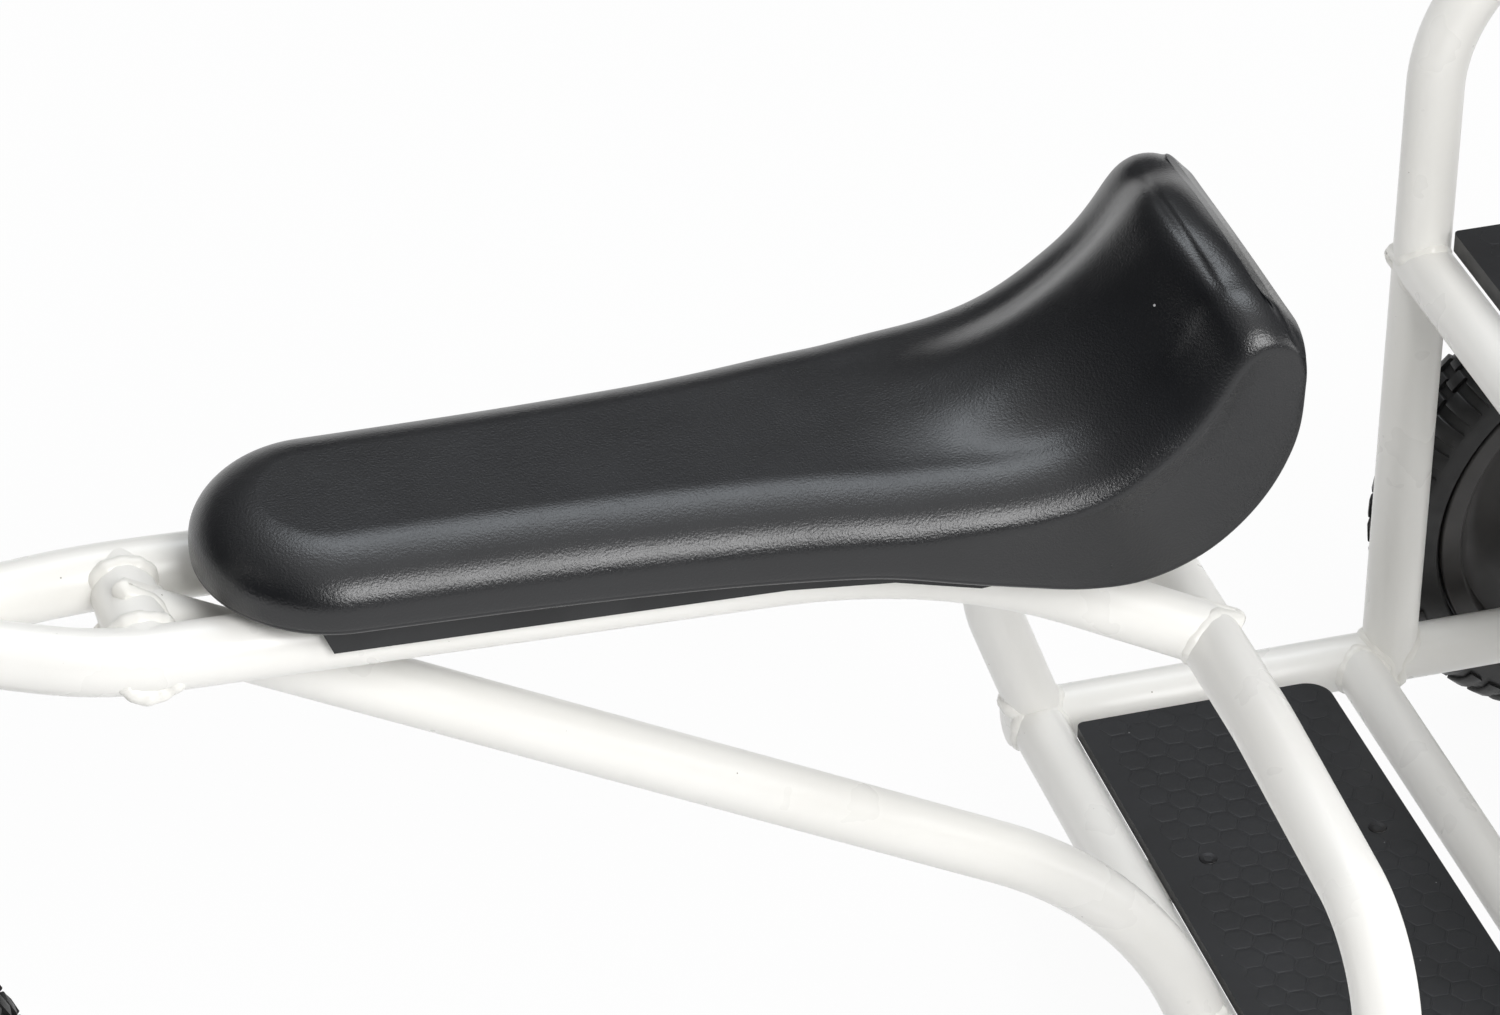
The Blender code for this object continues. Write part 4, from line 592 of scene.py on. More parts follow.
def build_welds():
    beads = []

    def weld(end, away, point, axis, radius=TUBE, wall=TUBE):
        """Round the end of a tube that leaves another, which runs through a point along an axis."""
        end, away, point, axis = as_points((end, away, point, axis))
        beads.append(bead_mesh(bead_points(end, away.normalized(), radius, point, axis.normalized(), wall)))

    x_axis, y_axis, z_axis = (1, 0, 0), (0, 1, 0), (0, 0, 1)
    leg_axis = (math.sin(LEG_LEAN), 0, math.cos(LEG_LEAN))
    for _, sign in SIDES:
        points = RAIL if sign > 0 else mirrored(RAIL)
        weld(points[0], points[1] - points[0], points[0], y_axis)
        side = (0.0, sign * HALF_WIDTH, PLATFORM_Z)
        for name, (route, radius) in CROSS_TUBES.items():
            end = route[1] if sign > 0 else route[0]
            wall_point, wall_axis = end, leg_axis
            if name == "rail_cross_tube":
                wall_point, wall_axis = (0.0, sign * RAIL_Y, rail_z(CROSS_TUBE_X)), (1, 0, -RAIL_SLOPE)
            elif name.startswith("platform"):
                wall_point, wall_axis = side, x_axis
            elif name == "bench_front_tube":
                wall_axis = z_axis
            weld(end, (0, -sign, 0), wall_point, wall_axis, radius)
        foot = Vector((0.226, sign * HALF_WIDTH, PLATFORM_Z))
        weld(foot, Vector((HOOP_X, sign * HALF_WIDTH, 0.160)) - foot, side, x_axis)
        weld((LOOP_X, sign * HALF_WIDTH, PLATFORM_Z), z_axis, side, x_axis)
        weld((LEG_X, sign * HALF_WIDTH, PLATFORM_Z), leg_axis, side, x_axis)
        axle_end, bracket = (REAR_AXLE_X, sign * 0.249, REAR_RADIUS), (REAR_AXLE_X, sign * 0.235, REAR_RADIUS)
        weld(axle_end, (0, -sign, 0), bracket, x_axis)
    weld(DOWN_TUBE[0], DOWN_TUBE[1] - DOWN_TUBE[0], DOWN_TUBE[0], y_axis)
    weld(DOWN_TUBE[-1], DOWN_TUBE[-2] - DOWN_TUBE[-1], (FRONT_TUBE_X, 0, PLATFORM_Z), y_axis)
    beads.append(bead_mesh(head_seam()))
    add("weld_beads", joined("weld_beads", beads), WELD)


def head_seam():
    """The seam of both rails on the head tube, one closed line round the pair."""
    near = []
    for sign in (1, -1):
        points = RAIL if sign > 0 else mirrored(RAIL)
        along = (points[-2] - points[-1]).normalized()
        seam = bead_points(points[-1], along, TUBE, STEERING_FOOT, UP_HEAD, 0.019)
        near += [point for point in seam if point.y * sign > 0.0004]
    middle = sum(near, Vector()) / len(near)
    return sorted(near, key=lambda p: math.atan2(p.z - middle.z, p.y - middle.y))


# Boards with raised hexagons


HEX_PITCH = 0.0146
HEX_GROOVE = 0.0011


def hexagon_cells(low, high):
    """Centres of the cells that lie wholly on a board, with a row's neighbours along Y."""
    found = []
    step_x = HEX_PITCH * math.sqrt(3) / 2
    reach = HEX_PITCH / math.sqrt(3) - HEX_GROOVE / 2
    columns = int((high[0] - low[0]) / step_x) + 2
    rows = int((high[1] - low[1]) / HEX_PITCH) + 2
    for i in range(columns):
        x = low[0] + 0.3 * HEX_PITCH + i * step_x
        for j in range(rows):
            y = low[1] + 0.2 * HEX_PITCH + (j + 0.5 * (i % 2)) * HEX_PITCH
            if low[0] + reach < x < high[0] - reach and low[1] + reach < y < high[1] - reach:
                found.append((x, y))
    return found


def hexagon_mesh(cells, top, height):
    """Low domed plates with rounded rims, one on each centre."""
    rings = ((1.0, -0.6), (1.0, 0.45), (0.955, 0.85), (0.88, 1.0), (0.45, 0.93))
    reach = (HEX_PITCH - HEX_GROOVE) / math.sqrt(3)
    vertices, faces = [], []
    for cell in cells:
        rows = even_rows(len(rings), 6, len(vertices))
        for share, rise in rings:
            vertices += [(x, y, top + rise * height) for x, y in hexagon(share * reach, cell)]
        faces += ring_faces(rows) + [rows[-1], rows[0][::-1]]
    return new_mesh("cells", vertices, faces, sharp=50.0)


def board_mesh(name, low, high, corners, thickness, screws):
    """A board with its top face at Z = 0: a body a little lower, and raised cells clear of the screws."""
    relief, clear = 0.00018, 0.0105
    body = prism_mesh("body", rounded_rectangle(low, high, corners), thickness - relief)
    cells = hexagon_cells(low, high)
    cells = [cell for cell in cells if all(math.dist(cell, spot) > clear for spot in screws)]
    middle = place((0, 0, -relief - (thickness - relief) / 2))
    return joined(name, [(body, middle), hexagon_mesh(cells, -relief, relief)])


def screw_mesh(radius=0.0046, socket=0.0021):
    """A countersunk head with a round socket, its rim level with Z = 0."""
    profile = [(0.0, -0.0016), (socket, -0.0016), (socket, 0.0), (radius - 0.0004, 0.0003)]
    profile += [(radius, -0.0003), (radius, -0.0022), (0.0, -0.0022)]
    return lathe_mesh("screw", profile, 36)


def build_boards():
    """The three boards and their screws.

    Each has two corners, corner radii, thickness, bevel, screw columns, the screws' y and a place.
    """
    low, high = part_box("backrest_board")
    back_bottom, back_top = 0.365, 0.478
    half = (back_top - back_bottom) / 2 / math.cos(LEG_LEAN)
    facing = Matrix.Rotation(LEG_LEAN, 4, "Y") @ Matrix.Rotation(-math.pi / 2, 4, "Y")
    leaning = Matrix.Translation((low + high) / 2 - SHIFT) @ facing @ place((0, 0, 0.005))
    foot_corners, bench_corners = (0.004, 0.013, 0.013, 0.004), (0.003, 0.012, 0.012, 0.003)
    bench_top = place((0, 0, BENCH_TOP_Z + GAP + 0.010))
    boards = {
        "foot_board": ((0.2338, -0.221), (0.3655, 0.221), foot_corners, 0.0065, 0.0007,
                       (0.2588, 0.3460), 0.0995, place((0, 0, 0.100))),
        "bench_board": ((0.4225, -0.2365), (0.655, 0.2365), bench_corners, 0.010, 0.0012,
                        (0.450, 0.628), 0.080, bench_top),
        "backrest_board": ((-half, -0.234), (half, 0.234), (0.020,) * 4, 0.010, 0.0012,
                           (-0.032, 0.032), 0.120, leaning),
    }
    heads = []
    for name, (low, high, corners, thickness, bevel, columns, screw_y, spot) in boards.items():
        screws = [(x, sign * screw_y) for x in columns for sign in (-1, 1)]
        mesh = board_mesh(name, low, high, corners, thickness, screws)
        add("patterned_" + name, mesh, FILM, name, spot, bevel=bevel)
        sink = 0.0 if spot is leaning else -0.0001
        heads += [(screw_mesh(), spot @ place((x, y, sink))) for x, y in screws]
    add("board_screws", joined("board_screws", heads), BLACK_STEEL)
    for name in ("foot_strip", "bench_strip", "backrest_strip"):
        for side, _ in SIDES:
            keep(f"{name}_{side}", COAT, 0.0010)


# Saddle


NOSE_X, TOP_Z = -0.238, 0.4565
NOSE_REACH, TAIL_CORNER = 0.0562, 0.0208
FAN_X = 0.060
EDGE_HEIGHT = 0.0275
# Distance along the saddle and half its width there
SADDLE_WIDTHS = (
    (0.0, 0.0608), (0.058, 0.0608), (0.140, 0.0618), (0.220, 0.0656), (0.300, 0.0770), (0.380, 0.0845),
    (0.487, 0.0795), (0.600, 0.0795),
)
# Distance along the saddle and how far its sides lie below its middle there, which crowns the back
SIDE_DROPS = (
    (0.0, 0.0), (0.27, 0.0), (0.31, 0.0025), (0.34, 0.0097), (0.37, 0.0166), (0.40, 0.0178), (0.43, 0.0182),
    (0.488, 0.0065), (0.509, 0.0), (0.60, 0.0),
)
# Distance along the saddle and how far its lower edge draws in there
TUCKS = (
    (0.0, 0.0), (0.30, 0.0), (0.35, 0.0049), (0.40, 0.0082), (0.44, 0.0082), (0.496, 0.0024), (0.509, 0.0),
    (0.60, 0.0),
)
SHOULDER, CROWN_SHAPE = 0.029, 1.5
# The crease inside the back's rim: distance from the back's edge, half width, depth, and its fading along y
CREASE_BACK, CREASE_HALF, CREASE_DEPTH, CREASE_FADE = 0.0430, 0.0024, 0.0009, (0.030, 0.056)


class SaddleForm:
    """Maps distance along the saddle, y and height to a point: the slices turn as the back rises."""

    def __init__(self):
        lift = TUBE + 0.0039
        upper = [
            (NOSE_X, TOP_Z + 0.0042),
            (-0.020, TOP_Z + 0.0004),
            (0.1132, TOP_Z),
            (0.1845, TOP_Z + 0.0857),
            (0.2135, TOP_Z + 0.0595),
        ]
        under = [
            (NOSE_X, rail_z(NOSE_X) + lift),
            (0.040, rail_z(0.040) + lift),
            (0.120, TOP_Z - 0.0555),
            (0.218, TOP_Z - 0.0650),
            (0.2165, TOP_Z + 0.0520),
        ]
        self.seat, self.back = [], []
        for corners, radii in ((under, (0.150, 0.100, 0.075)), (upper, (0.200, 0.156, 0.021))):
            path = rounded_path([(x, 0.0, z) for x, z in corners], radii)
            for i, (a, b) in enumerate(zip(path, path[1:])):
                if a.x <= FAN_X < b.x:
                    cut = a.lerp(b, (FAN_X - a.x) / (b.x - a.x))
                    rest = [cut] + path[i + 1 :]
                    steps = [(b - a).length for a, b in zip(rest, rest[1:])]
                    self.seat.append(path[: i + 1] + [cut])
                    self.back.append((rest, steps))
                    break
        self.seat_length = FAN_X - NOSE_X
        self.back_length = sum(sum(steps) for _, steps in self.back) / 2
        self.length = self.seat_length + self.back_length

    def ends(self, s):
        """The slice at s. Along the seat it is upright, and along the back it leans more and more."""
        if s <= self.seat_length:
            return [self.spot(path, [b.x - a.x for a, b in zip(path, path[1:])], s) for path in self.seat]
        share = min(1.0, (s - self.seat_length) / self.back_length)
        return [self.spot(path, steps, share * sum(steps)) for path, steps in self.back]

    def crease(self, s, y):
        across = (s - self.length + CREASE_BACK) / CREASE_HALF
        start, end = CREASE_FADE
        fade = max(0.0, min(1.0, (end - abs(y)) / (end - start)))
        return CREASE_DEPTH * math.exp(-across * across) * fade * fade * (3 - 2 * fade)

    @staticmethod
    def spot(path, steps, target):
        """The point of a path at a target, which is measured in its steps."""
        for a, b, step in zip(path, path[1:], steps):
            if target <= step:
                return a.lerp(b, max(0.0, target / step))
            target -= step
        return path[-1]

    def point(self, s, y, above_under, below_top):
        low, high = self.ends(max(0.0, min(self.length, s)))
        thickness = (high - low).length
        scale = min(1.0, thickness / EDGE_HEIGHT)
        if below_top is None:
            share = scale * above_under / thickness
        else:
            share = 1 - (scale * below_top + self.crease(s, y) + side_drop(s, y)) / thickness
        spot = low.lerp(high, share)
        return Vector((spot.x, y, spot.z))


def smoothed(knots, s, reach):
    """The line through the knots at s, its corners rounded by averaging over reach on both sides."""
    total = 0.0
    for k in range(-8, 9):
        spot = max(0.0, s + reach * k / 8)
        for (s0, v0), (s1, v1) in zip(knots, knots[1:]):
            if s0 <= spot <= s1:
                total += v0 + (v1 - v0) * (spot - s0) / (s1 - s0)
                break
    return total / 17


def saddle_half_width(s):
    return smoothed(SADDLE_WIDTHS, s, 0.032)


def side_drop(s, y):
    """How far the surface at y lies below the middle of its slice."""
    across = min(1.0, abs(y) / (saddle_half_width(s) - SHOULDER)) ** CROWN_SHAPE
    return smoothed(SIDE_DROPS, s, 0.016) * across * across * (3 - 2 * across)


def saddle_outline(length):
    """Half of the outline laid flat, from the nose to the middle of the back's edge."""
    points = []
    nose_half = saddle_half_width(NOSE_REACH)
    for i in range(33):
        angle = math.radians(90 * i / 32)
        points.append((NOSE_REACH * (1 - math.cos(angle)), nose_half * math.sin(angle)))
    end = length - TAIL_CORNER
    crease = length - CREASE_BACK
    stations = [NOSE_REACH + (end - NOSE_REACH) * i / 70 for i in range(1, 70)]
    clear = [s for s in stations if abs(s - crease) >= 0.007]
    for s in sorted(clear + [crease + 0.0010 * k for k in range(-5, 6)]):
        points.append((s, saddle_half_width(s)))
    tail_half = saddle_half_width(end)
    flat_half = tail_half - TAIL_CORNER
    for i in range(17):
        angle = math.radians(90 * i / 16)
        points.append((end + TAIL_CORNER * math.sin(angle), flat_half + TAIL_CORNER * math.cos(angle)))
    for i in range(1, 9):
        points.append((length, flat_half * (1 - i / 8)))
    return points


# From the underside round to the top: inset from the edge, share of the tuck, and height over the underside
# or depth below the top
SADDLE_EDGE = (
    (0.0100, 1.0, 0.0000, None),
    (0.0060, 1.0, 0.0000, None),
    (0.0028, 1.0, 0.0002, None),
    (0.0011, 1.0, 0.0008, None),
    (0.0004, 1.0, 0.0017, None),
    (0.0002, 1.0, 0.0026, None),
    (0.0006, 1.0, 0.0029, None),
    (0.0000, 1.0, 0.0033, None),
    (0.0000, 0.45, None, 0.0214),
    (0.0003, 0.15, None, 0.0190),
    (0.0013, 0.0, None, 0.0161),
    (0.0033, 0.0, None, 0.0127),
    (0.0065, 0.0, None, 0.0092),
    (0.0094, 0.0, None, 0.0070),
    (0.0123, 0.0, None, 0.0052),
    (0.0162, 0.0, None, 0.0033),
    (0.0204, 0.0, None, 0.0017),
    (0.0250, 0.0, None, 0.0005),
    (SHOULDER, 0.0, None, 0.0000),
)
TOP_ROWS = 10
RIM_INSET = 0.45


def build_saddle():
    form = SaddleForm()
    half = saddle_outline(form.length)
    ring = half + [(s, -y) for s, y in reversed(half[1:-1])]
    count, last = len(ring), len(half) - 1
    inwards = []
    for i in range(count):
        before, after = ring[i - 1], ring[(i + 1) % count]
        along = Vector((after[0] - before[0], after[1] - before[1])).normalized()
        inward = Vector((along.y, -along.x))
        rear = max(0.0, -inward.x)
        inwards.append(inward * (1 - (1 - RIM_INSET) * rear))
    shape = bmesh.new()
    rings, flats = [], []
    for inset, tuck, above_under, below_top in SADDLE_EDGE:
        flat = []
        for (s, y), inward in zip(ring, inwards):
            reach = inset + tuck * smoothed(TUCKS, s, 0.020)
            flat.append((s + inward.x * reach, y + inward.y * reach))
        flats.append(flat)
        rings.append([shape.verts.new(form.point(s, y, above_under, below_top)) for s, y in flat])
    for lower, upper in zip(rings, rings[1:]):
        for i in range(count):
            j = (i + 1) % count
            shape.faces.new((lower[j], lower[i], upper[i], upper[j]))
    for row, flat, above, below in ((rings[0], flats[0], 0.0, None), (rings[-1], flats[-1], None, 0.0)):
        previous = None
        for i in range(last + 1):
            line = [row[i]]
            if 0 < i < last:
                s, edge_y = flat[i]
                for k in range(1, 2 * TOP_ROWS):
                    line.append(shape.verts.new(form.point(s, edge_y * (1 - k / TOP_ROWS), above, below)))
                line.append(row[count - i])
            if previous:
                fan_strip(shape, previous, line)
            previous = line
    bmesh.ops.recalc_face_normals(shape, faces=shape.faces)
    mesh = bpy.data.meshes.new("saddle")
    shape.to_mesh(mesh)
    shape.free()
    mesh.shade_smooth()
    saddle = add("moulded_saddle", mesh, SKIN, "saddle")
    modifier = saddle.modifiers.new("smooth_skin", "SUBSURF")
    modifier.levels = modifier.render_levels = 1


def fan_strip(shape, a, b):
    """Faces between two lines of vertices, either of which may be a single vertex."""
    steps = max(len(a), len(b)) - 1
    for k in range(steps):
        spots = ((a, k), (a, k + 1), (b, k + 1), (b, k))
        corners = [row[min(spot, len(row) - 1)] for row, spot in spots]
        shape.faces.new([v for i, v in enumerate(corners) if v not in corners[:i]])


def build_saddle_mount():
    keep("saddle_base_plate", PLASTIC, 0.0006)
    bolts = []
    slope = math.atan(RAIL_SLOPE)
    drop = TUBE + GAP + 0.003
    tilt = Matrix.Rotation(slope, 4, "Y") @ Matrix.Rotation(math.pi, 4, "X")
    for name, x in (("front", -0.140), ("rear", -0.030)):
        keep(f"saddle_clamp_{name}", STEEL)
        spot = Vector((x - drop * math.sin(slope), 0.0, rail_z(x) - drop * math.cos(slope)))
        bolts.append((bolt_mesh(), Matrix.Translation(spot) @ tilt))
    add("saddle_bolts", joined("saddle_bolts", bolts), STEEL)


def bolt_mesh(size=0.0065):
    """A hexagon head on a washer, its seat at Z = 0."""
    outer = 1.42 * size
    washer = [(0.0, 0.0012), (1.35 * size, 0.0012), (outer, 0.0009), (outer, 0.0), (0.0, 0.0)]
    crown = [(0.0, 0.0062), (0.80 * size, 0.0060), (0.88 * size, 0.0055), (0.0, 0.0055)]
    head = (prism_mesh("head", hexagon(size), 0.0044), place((0, 0, 0.0034)))
    return joined("bolt", [lathe_mesh("washer", washer, 40), head, lathe_mesh("crown", crown, 40)])


# Wheels


def tyre_mesh(radius, bead, lugs):
    """A tyre with a rounded carcass, two rows of centre blocks and lugs over each shoulder."""
    relief = 0.0022
    body = radius - relief
    half = [
        (bead + 0.0002, 0.0165),
        (bead + 0.0065, 0.0165),
        (bead + 0.0075, 0.0205),
        (bead + 0.0100, 0.0225),
        (bead + 0.30 * (body - bead), 0.0236),
        (bead + 0.55 * (body - bead), 0.0232),
        (bead + 0.78 * (body - bead), 0.0212),
        (body - 0.0040, 0.0180),
        (body - 0.0014, 0.0130),
        (body - 0.0003, 0.0070),
        (body, 0.0),
    ]
    profile = half + [(r, -h) for r, h in reversed(half[:-1])]
    carcass = lathe_mesh("carcass", profile, 128)
    vertices, faces = [], []

    def strip(a, b):
        return [(a[k], a[k + 1], b[k + 1], b[k]) for k in range(len(a) - 1)]

    def lug(section, start, length, sign):
        """A block that narrows towards its top. Its section is points over the carcass with their normals."""
        rows = even_rows(8, len(section), len(vertices))
        for share, lift in ((1.0, -0.0012), (1.0, 0.45 * relief), (0.92, 0.86 * relief), (0.82, relief)):
            for edge in (-1, 1):
                angle = start + (1 + edge * share) * length / 2
                for r, h, nr, nh in section:
                    out = r + nr * lift
                    vertices.append((out * math.cos(angle), out * math.sin(angle), sign * (h + nh * lift)))
        for level in (0, 2, 4):
            faces.extend(strip(rows[level], rows[level + 2]) + strip(rows[level + 1], rows[level + 3]))
            for k in (0, -1):
                faces.append([rows[level + i][k] for i in (0, 1, 3, 2)])
        faces.extend(strip(rows[6], rows[7]))

    pitch = 2 * math.pi / lugs
    shoulder = [
        (body - 0.0110, 0.0222, 0.10, 0.995),
        (body - 0.0075, 0.0207, 0.25, 0.968),
        (body - 0.0040, 0.0180, 0.60, 0.80),
        (body - 0.0018, 0.0142, 0.90, 0.44),
        (body - 0.0006, 0.0108, 0.97, 0.24),
    ]
    centre = [(body - 0.0004, 0.0078, 0.98, 0.18), (body, 0.0045, 1.0, 0.05), (body, 0.0010, 1.0, 0.0)]
    for i in range(lugs):
        for sign, offset in ((1, 0.0), (-1, 0.5)):
            lug(shoulder, (i + offset) * pitch, 0.62 * pitch, sign)
            lug(centre, (i + offset + 0.45) * pitch, 0.67 * pitch, sign)
    return joined("tyre", [carcass, new_mesh("blocks", vertices, faces, sharp=35.0)])


def rim_mesh(bead, bore, hub_half):
    """A moulded wheel: hub, dished web and a channel for the tyre."""
    flange = bead + 0.0058
    half = [
        (bore, hub_half),
        (0.0175, hub_half),
        (0.0190, hub_half - 0.0012),
        (0.0200, 0.55 * hub_half),
        (0.0245, 0.0085),
        (0.0290, 0.0056),
        (bead - 0.022, 0.0040),
        (bead - 0.014, 0.0062),
        (bead - 0.008, 0.0120),
        (bead - 0.0062, 0.0190),
        (bead - 0.0050, 0.0205),
        (flange - 0.0010, 0.0208),
        (flange, 0.0200),
        (flange, 0.0172),
        (bead - 0.0008, 0.0168),
    ]
    return lathe_mesh("web", both_ways(half), 96)


def ring_mesh(inner, outer, half, chamfer=0.0006, steps=64):
    low = half - chamfer
    profile = [(inner, low), (inner + chamfer, half), (outer - chamfer, half), (outer, low)]
    return lathe_mesh("ring", both_ways(profile), steps)


def bearing_mesh(inner, outer, half):
    """A ball race: two rings with a recessed shield between them."""
    third = (outer - inner) / 3
    shield = half - 0.0012
    profile = [
        (inner, half - 0.0005), (inner + 0.0005, half), (inner + third, half), (inner + third, shield),
        (outer - third, shield), (outer - third, half), (outer - 0.0006, half), (outer, half - 0.0006),
    ]
    return lathe_mesh("bearing", both_ways(profile), 64)


def cap_nut_mesh(length, size):
    """A hexagon nut with a domed cap, seated at Z = 0."""
    shoulder = 0.55 * length
    body = (prism_mesh("body", hexagon(size), shoulder), place((0, 0, shoulder / 2)))
    dome = [(0.0, length)]
    for degrees in range(12, 91, 13):
        angle = math.radians(degrees)
        dome.append((0.72 * size * math.sin(angle), shoulder + 0.45 * length * math.cos(angle)))
    dome += [(0.74 * size, 0.54 * length), (0.0, 0.54 * length)]
    return joined("nut", [body, lathe_mesh("dome", dome, 48)])


def build_rear_axle():
    centre = (REAR_AXLE_X, 0.0, REAR_RADIUS)
    lying = place(centre) @ turn(90, "X")
    hub_half, bead = 0.027, 0.094
    half = REAR_WHEEL_Y - hub_half - 3 * GAP
    add("coated_axle_tube", ring_mesh(0.0063, TUBE, half), COAT, "rear_axle_tube", lying)
    end, radius, chamfer = 0.335, 0.006, 0.0005
    rod = both_ways([(0.0, end), (radius - chamfer, end), (radius, end - chamfer)])
    add("axle_rod", lathe_mesh("rod", rod, 40), STEEL, "rear_axle", lying)
    sleeve = [
        (0.0063, 0.0288), (0.0145, 0.0288), (0.0150, 0.0284), (0.0150, 0.0274), (0.0100, 0.0273),
        (0.0100, -0.0270), (0.0063, -0.0270),
    ]
    for side, sign in SIDES:
        keep(f"axle_bracket_{side}", COAT, 0.0009)
        low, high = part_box(f"axle_nut_{side}")
        outward = turn(-90 * sign, "X")
        stand = place((REAR_AXLE_X, low.y if sign > 0 else high.y, REAR_RADIUS)) @ outward
        add(f"cap_nut_{side}", cap_nut_mesh(0.012, 0.0105), STEEL, f"axle_nut_{side}", stand, bevel=0.0006)
        body = f"rear_wheel_{side}"
        wheel = place((REAR_AXLE_X, sign * REAR_WHEEL_Y, REAR_RADIUS)) @ outward
        tyre, rim = tyre_mesh(REAR_RADIUS, bead, 52), rim_mesh(bead, 0.0103, hub_half)
        add(f"treaded_tyre_{side}", tyre, RUBBER, f"rear_tyre_{side}", wheel, body)
        add(f"ribbed_rim_{side}", rim, RIM, f"rear_rim_{side}", wheel, body, 0.0005)
        add(f"hub_sleeve_{side}", lathe_mesh("sleeve", sleeve, 48), PLASTIC, f"hub_bush_{side}", wheel, body)


# Steering and front wheel


CROWN_BOTTOM, CROWN_HEIGHT, CUP, HEAD, NUT_HEIGHT = 0.172, 0.026, 0.012, 0.120, 0.010
CROWN_TOP = CROWN_BOTTOM + CROWN_HEIGHT
HEAD_BOTTOM = CROWN_TOP + CUP + 2 * GAP
HEAD_TOP = HEAD_BOTTOM + HEAD
NUT_BOTTOM = HEAD_TOP + CUP + 2 * GAP
STEERER_TOP = NUT_BOTTOM + NUT_HEIGHT
BAR_HEIGHT = STEERER_TOP + 0.105
FORK_HALF = 0.048


def build_head():
    bore, radius, chamfer = 0.016, 0.019, 0.0006
    head = [
        (bore, HEAD_TOP), (0.0185, HEAD_TOP), (radius, HEAD_TOP - chamfer), (radius, HEAD_BOTTOM + chamfer),
        (0.0185, HEAD_BOTTOM), (bore, HEAD_BOTTOM),
    ]
    add("coated_head_tube", lathe_mesh("head", head, 72), COAT, "head_tube", STEERING)
    cup = [
        (0.013, 0.0), (0.0185, 0.0), (0.0195, 0.0008), (0.0212, 0.0042), (0.0231, 0.0056), (0.0233, 0.0070),
        (0.0233, 0.0112), (0.0226, CUP), (0.013, CUP),
    ]
    flipped = [(r, CUP - h) for r, h in reversed(cup)]
    for name, foot, profile in (("lower", CROWN_TOP + GAP, cup), ("upper", HEAD_TOP + GAP, flipped)):
        mesh = lathe_mesh("cup", [(r, foot + h) for r, h in profile], 64)
        add(f"head_race_{name}", mesh, STEEL, f"head_bearing_{name}", STEERING)


def build_fork():
    outline = rounded_rectangle((-0.018, -0.064), (0.018, 0.064), (0.017,) * 4, 16)
    crown = prism_mesh("crown", outline, CROWN_HEIGHT)
    spot = STEERING @ place((0, 0, CROWN_BOTTOM + CROWN_HEIGHT / 2))
    add("coated_fork_crown", crown, COAT, "fork_crown", spot, "steering", 0.0026, 4)
    top, foot, radius = STEERER_TOP, CROWN_BOTTOM + 0.002, 0.0125
    steerer = [(0.0, top), (0.0120, top), (radius, top - 0.0006), (radius, foot), (0.0, foot)]
    add("steerer_tube", lathe_mesh("steerer", steerer, 48), STEEL, "steerer", STEERING, "steering")
    nut = prism_mesh("nut", hexagon(0.021), NUT_HEIGHT)
    spot = STEERING @ place((0, 0, NUT_BOTTOM + NUT_HEIGHT / 2))
    add("head_locknut", nut, STEEL, "headset_nut", spot, "steering", 0.0009)
    beads = []
    for side, sign in SIDES:
        build_fork_leg(side, sign * FORK_HALF, beads)
    add("fork_welds", joined("fork_welds", beads), WELD, body="steering")


def build_fork_leg(side, y, beads):
    """A bent leg with the socket of its crank bearing. Its two weld beads are added to beads."""
    leg_radius, inner, outer, depth, bead_size = 0.011, 0.0178, 0.022, 0.0064, 0.0018
    leg_end = 0.0190
    end = Vector((-RAKE, y, 0.0))
    route = rounded_path([(0.0, y, CROWN_TOP - 0.001), (0.0, y, 0.095), end], (0.150,))
    eye = place(end) @ turn(90, "X")
    socket = ring_mesh(inner, outer, 0.007, 0.0009)
    core = lathe_mesh("core", both_ways([(inner, depth), (outer - 0.0006, depth)]), 64)
    leg = cut_below(sweep_mesh("leg", route, leg_radius, 48), leg_end)
    mesh = joined("leg", [leg, (socket, eye), (core, eye)])
    add(f"coated_fork_leg_{side}", mesh, COAT, f"fork_leg_{side}", STEERING, "steering")
    race = bearing_mesh(0.0088, 0.0175, 0.007)
    add(f"crank_race_{side}", race, STEEL, f"crank_bearing_{side}", STEERING @ eye, "steering")
    up = (route[-2] - route[-1]).normalized()
    seam = bead_points(end, up, leg_radius, end, Vector((0, 1, 0)), outer)
    beads.append((bead_mesh(seam, bead_size), STEERING))
    ring = [Vector((x, y + dy, CROWN_BOTTOM)) for x, dy in arc((0.0, 0.0), leg_radius + 0.0002, 0, 354, 59)]
    beads.append((bead_mesh(ring, bead_size), STEERING))


def cut_below(mesh, distance):
    """Trims the leg where it would enter its bearing's bore."""
    shape = bmesh.new()
    shape.from_mesh(mesh)
    geometry = shape.verts[:] + shape.edges[:] + shape.faces[:]
    spot, outward = (0, 0, distance), (0, 0, -1)
    bmesh.ops.bisect_plane(shape, geom=geometry, plane_co=spot, plane_no=outward, clear_outer=True)
    edges = [edge for edge in shape.edges if edge.is_boundary]
    bmesh.ops.contextual_create(shape, geom=edges)
    shape.to_mesh(mesh)
    shape.free()
    return mesh


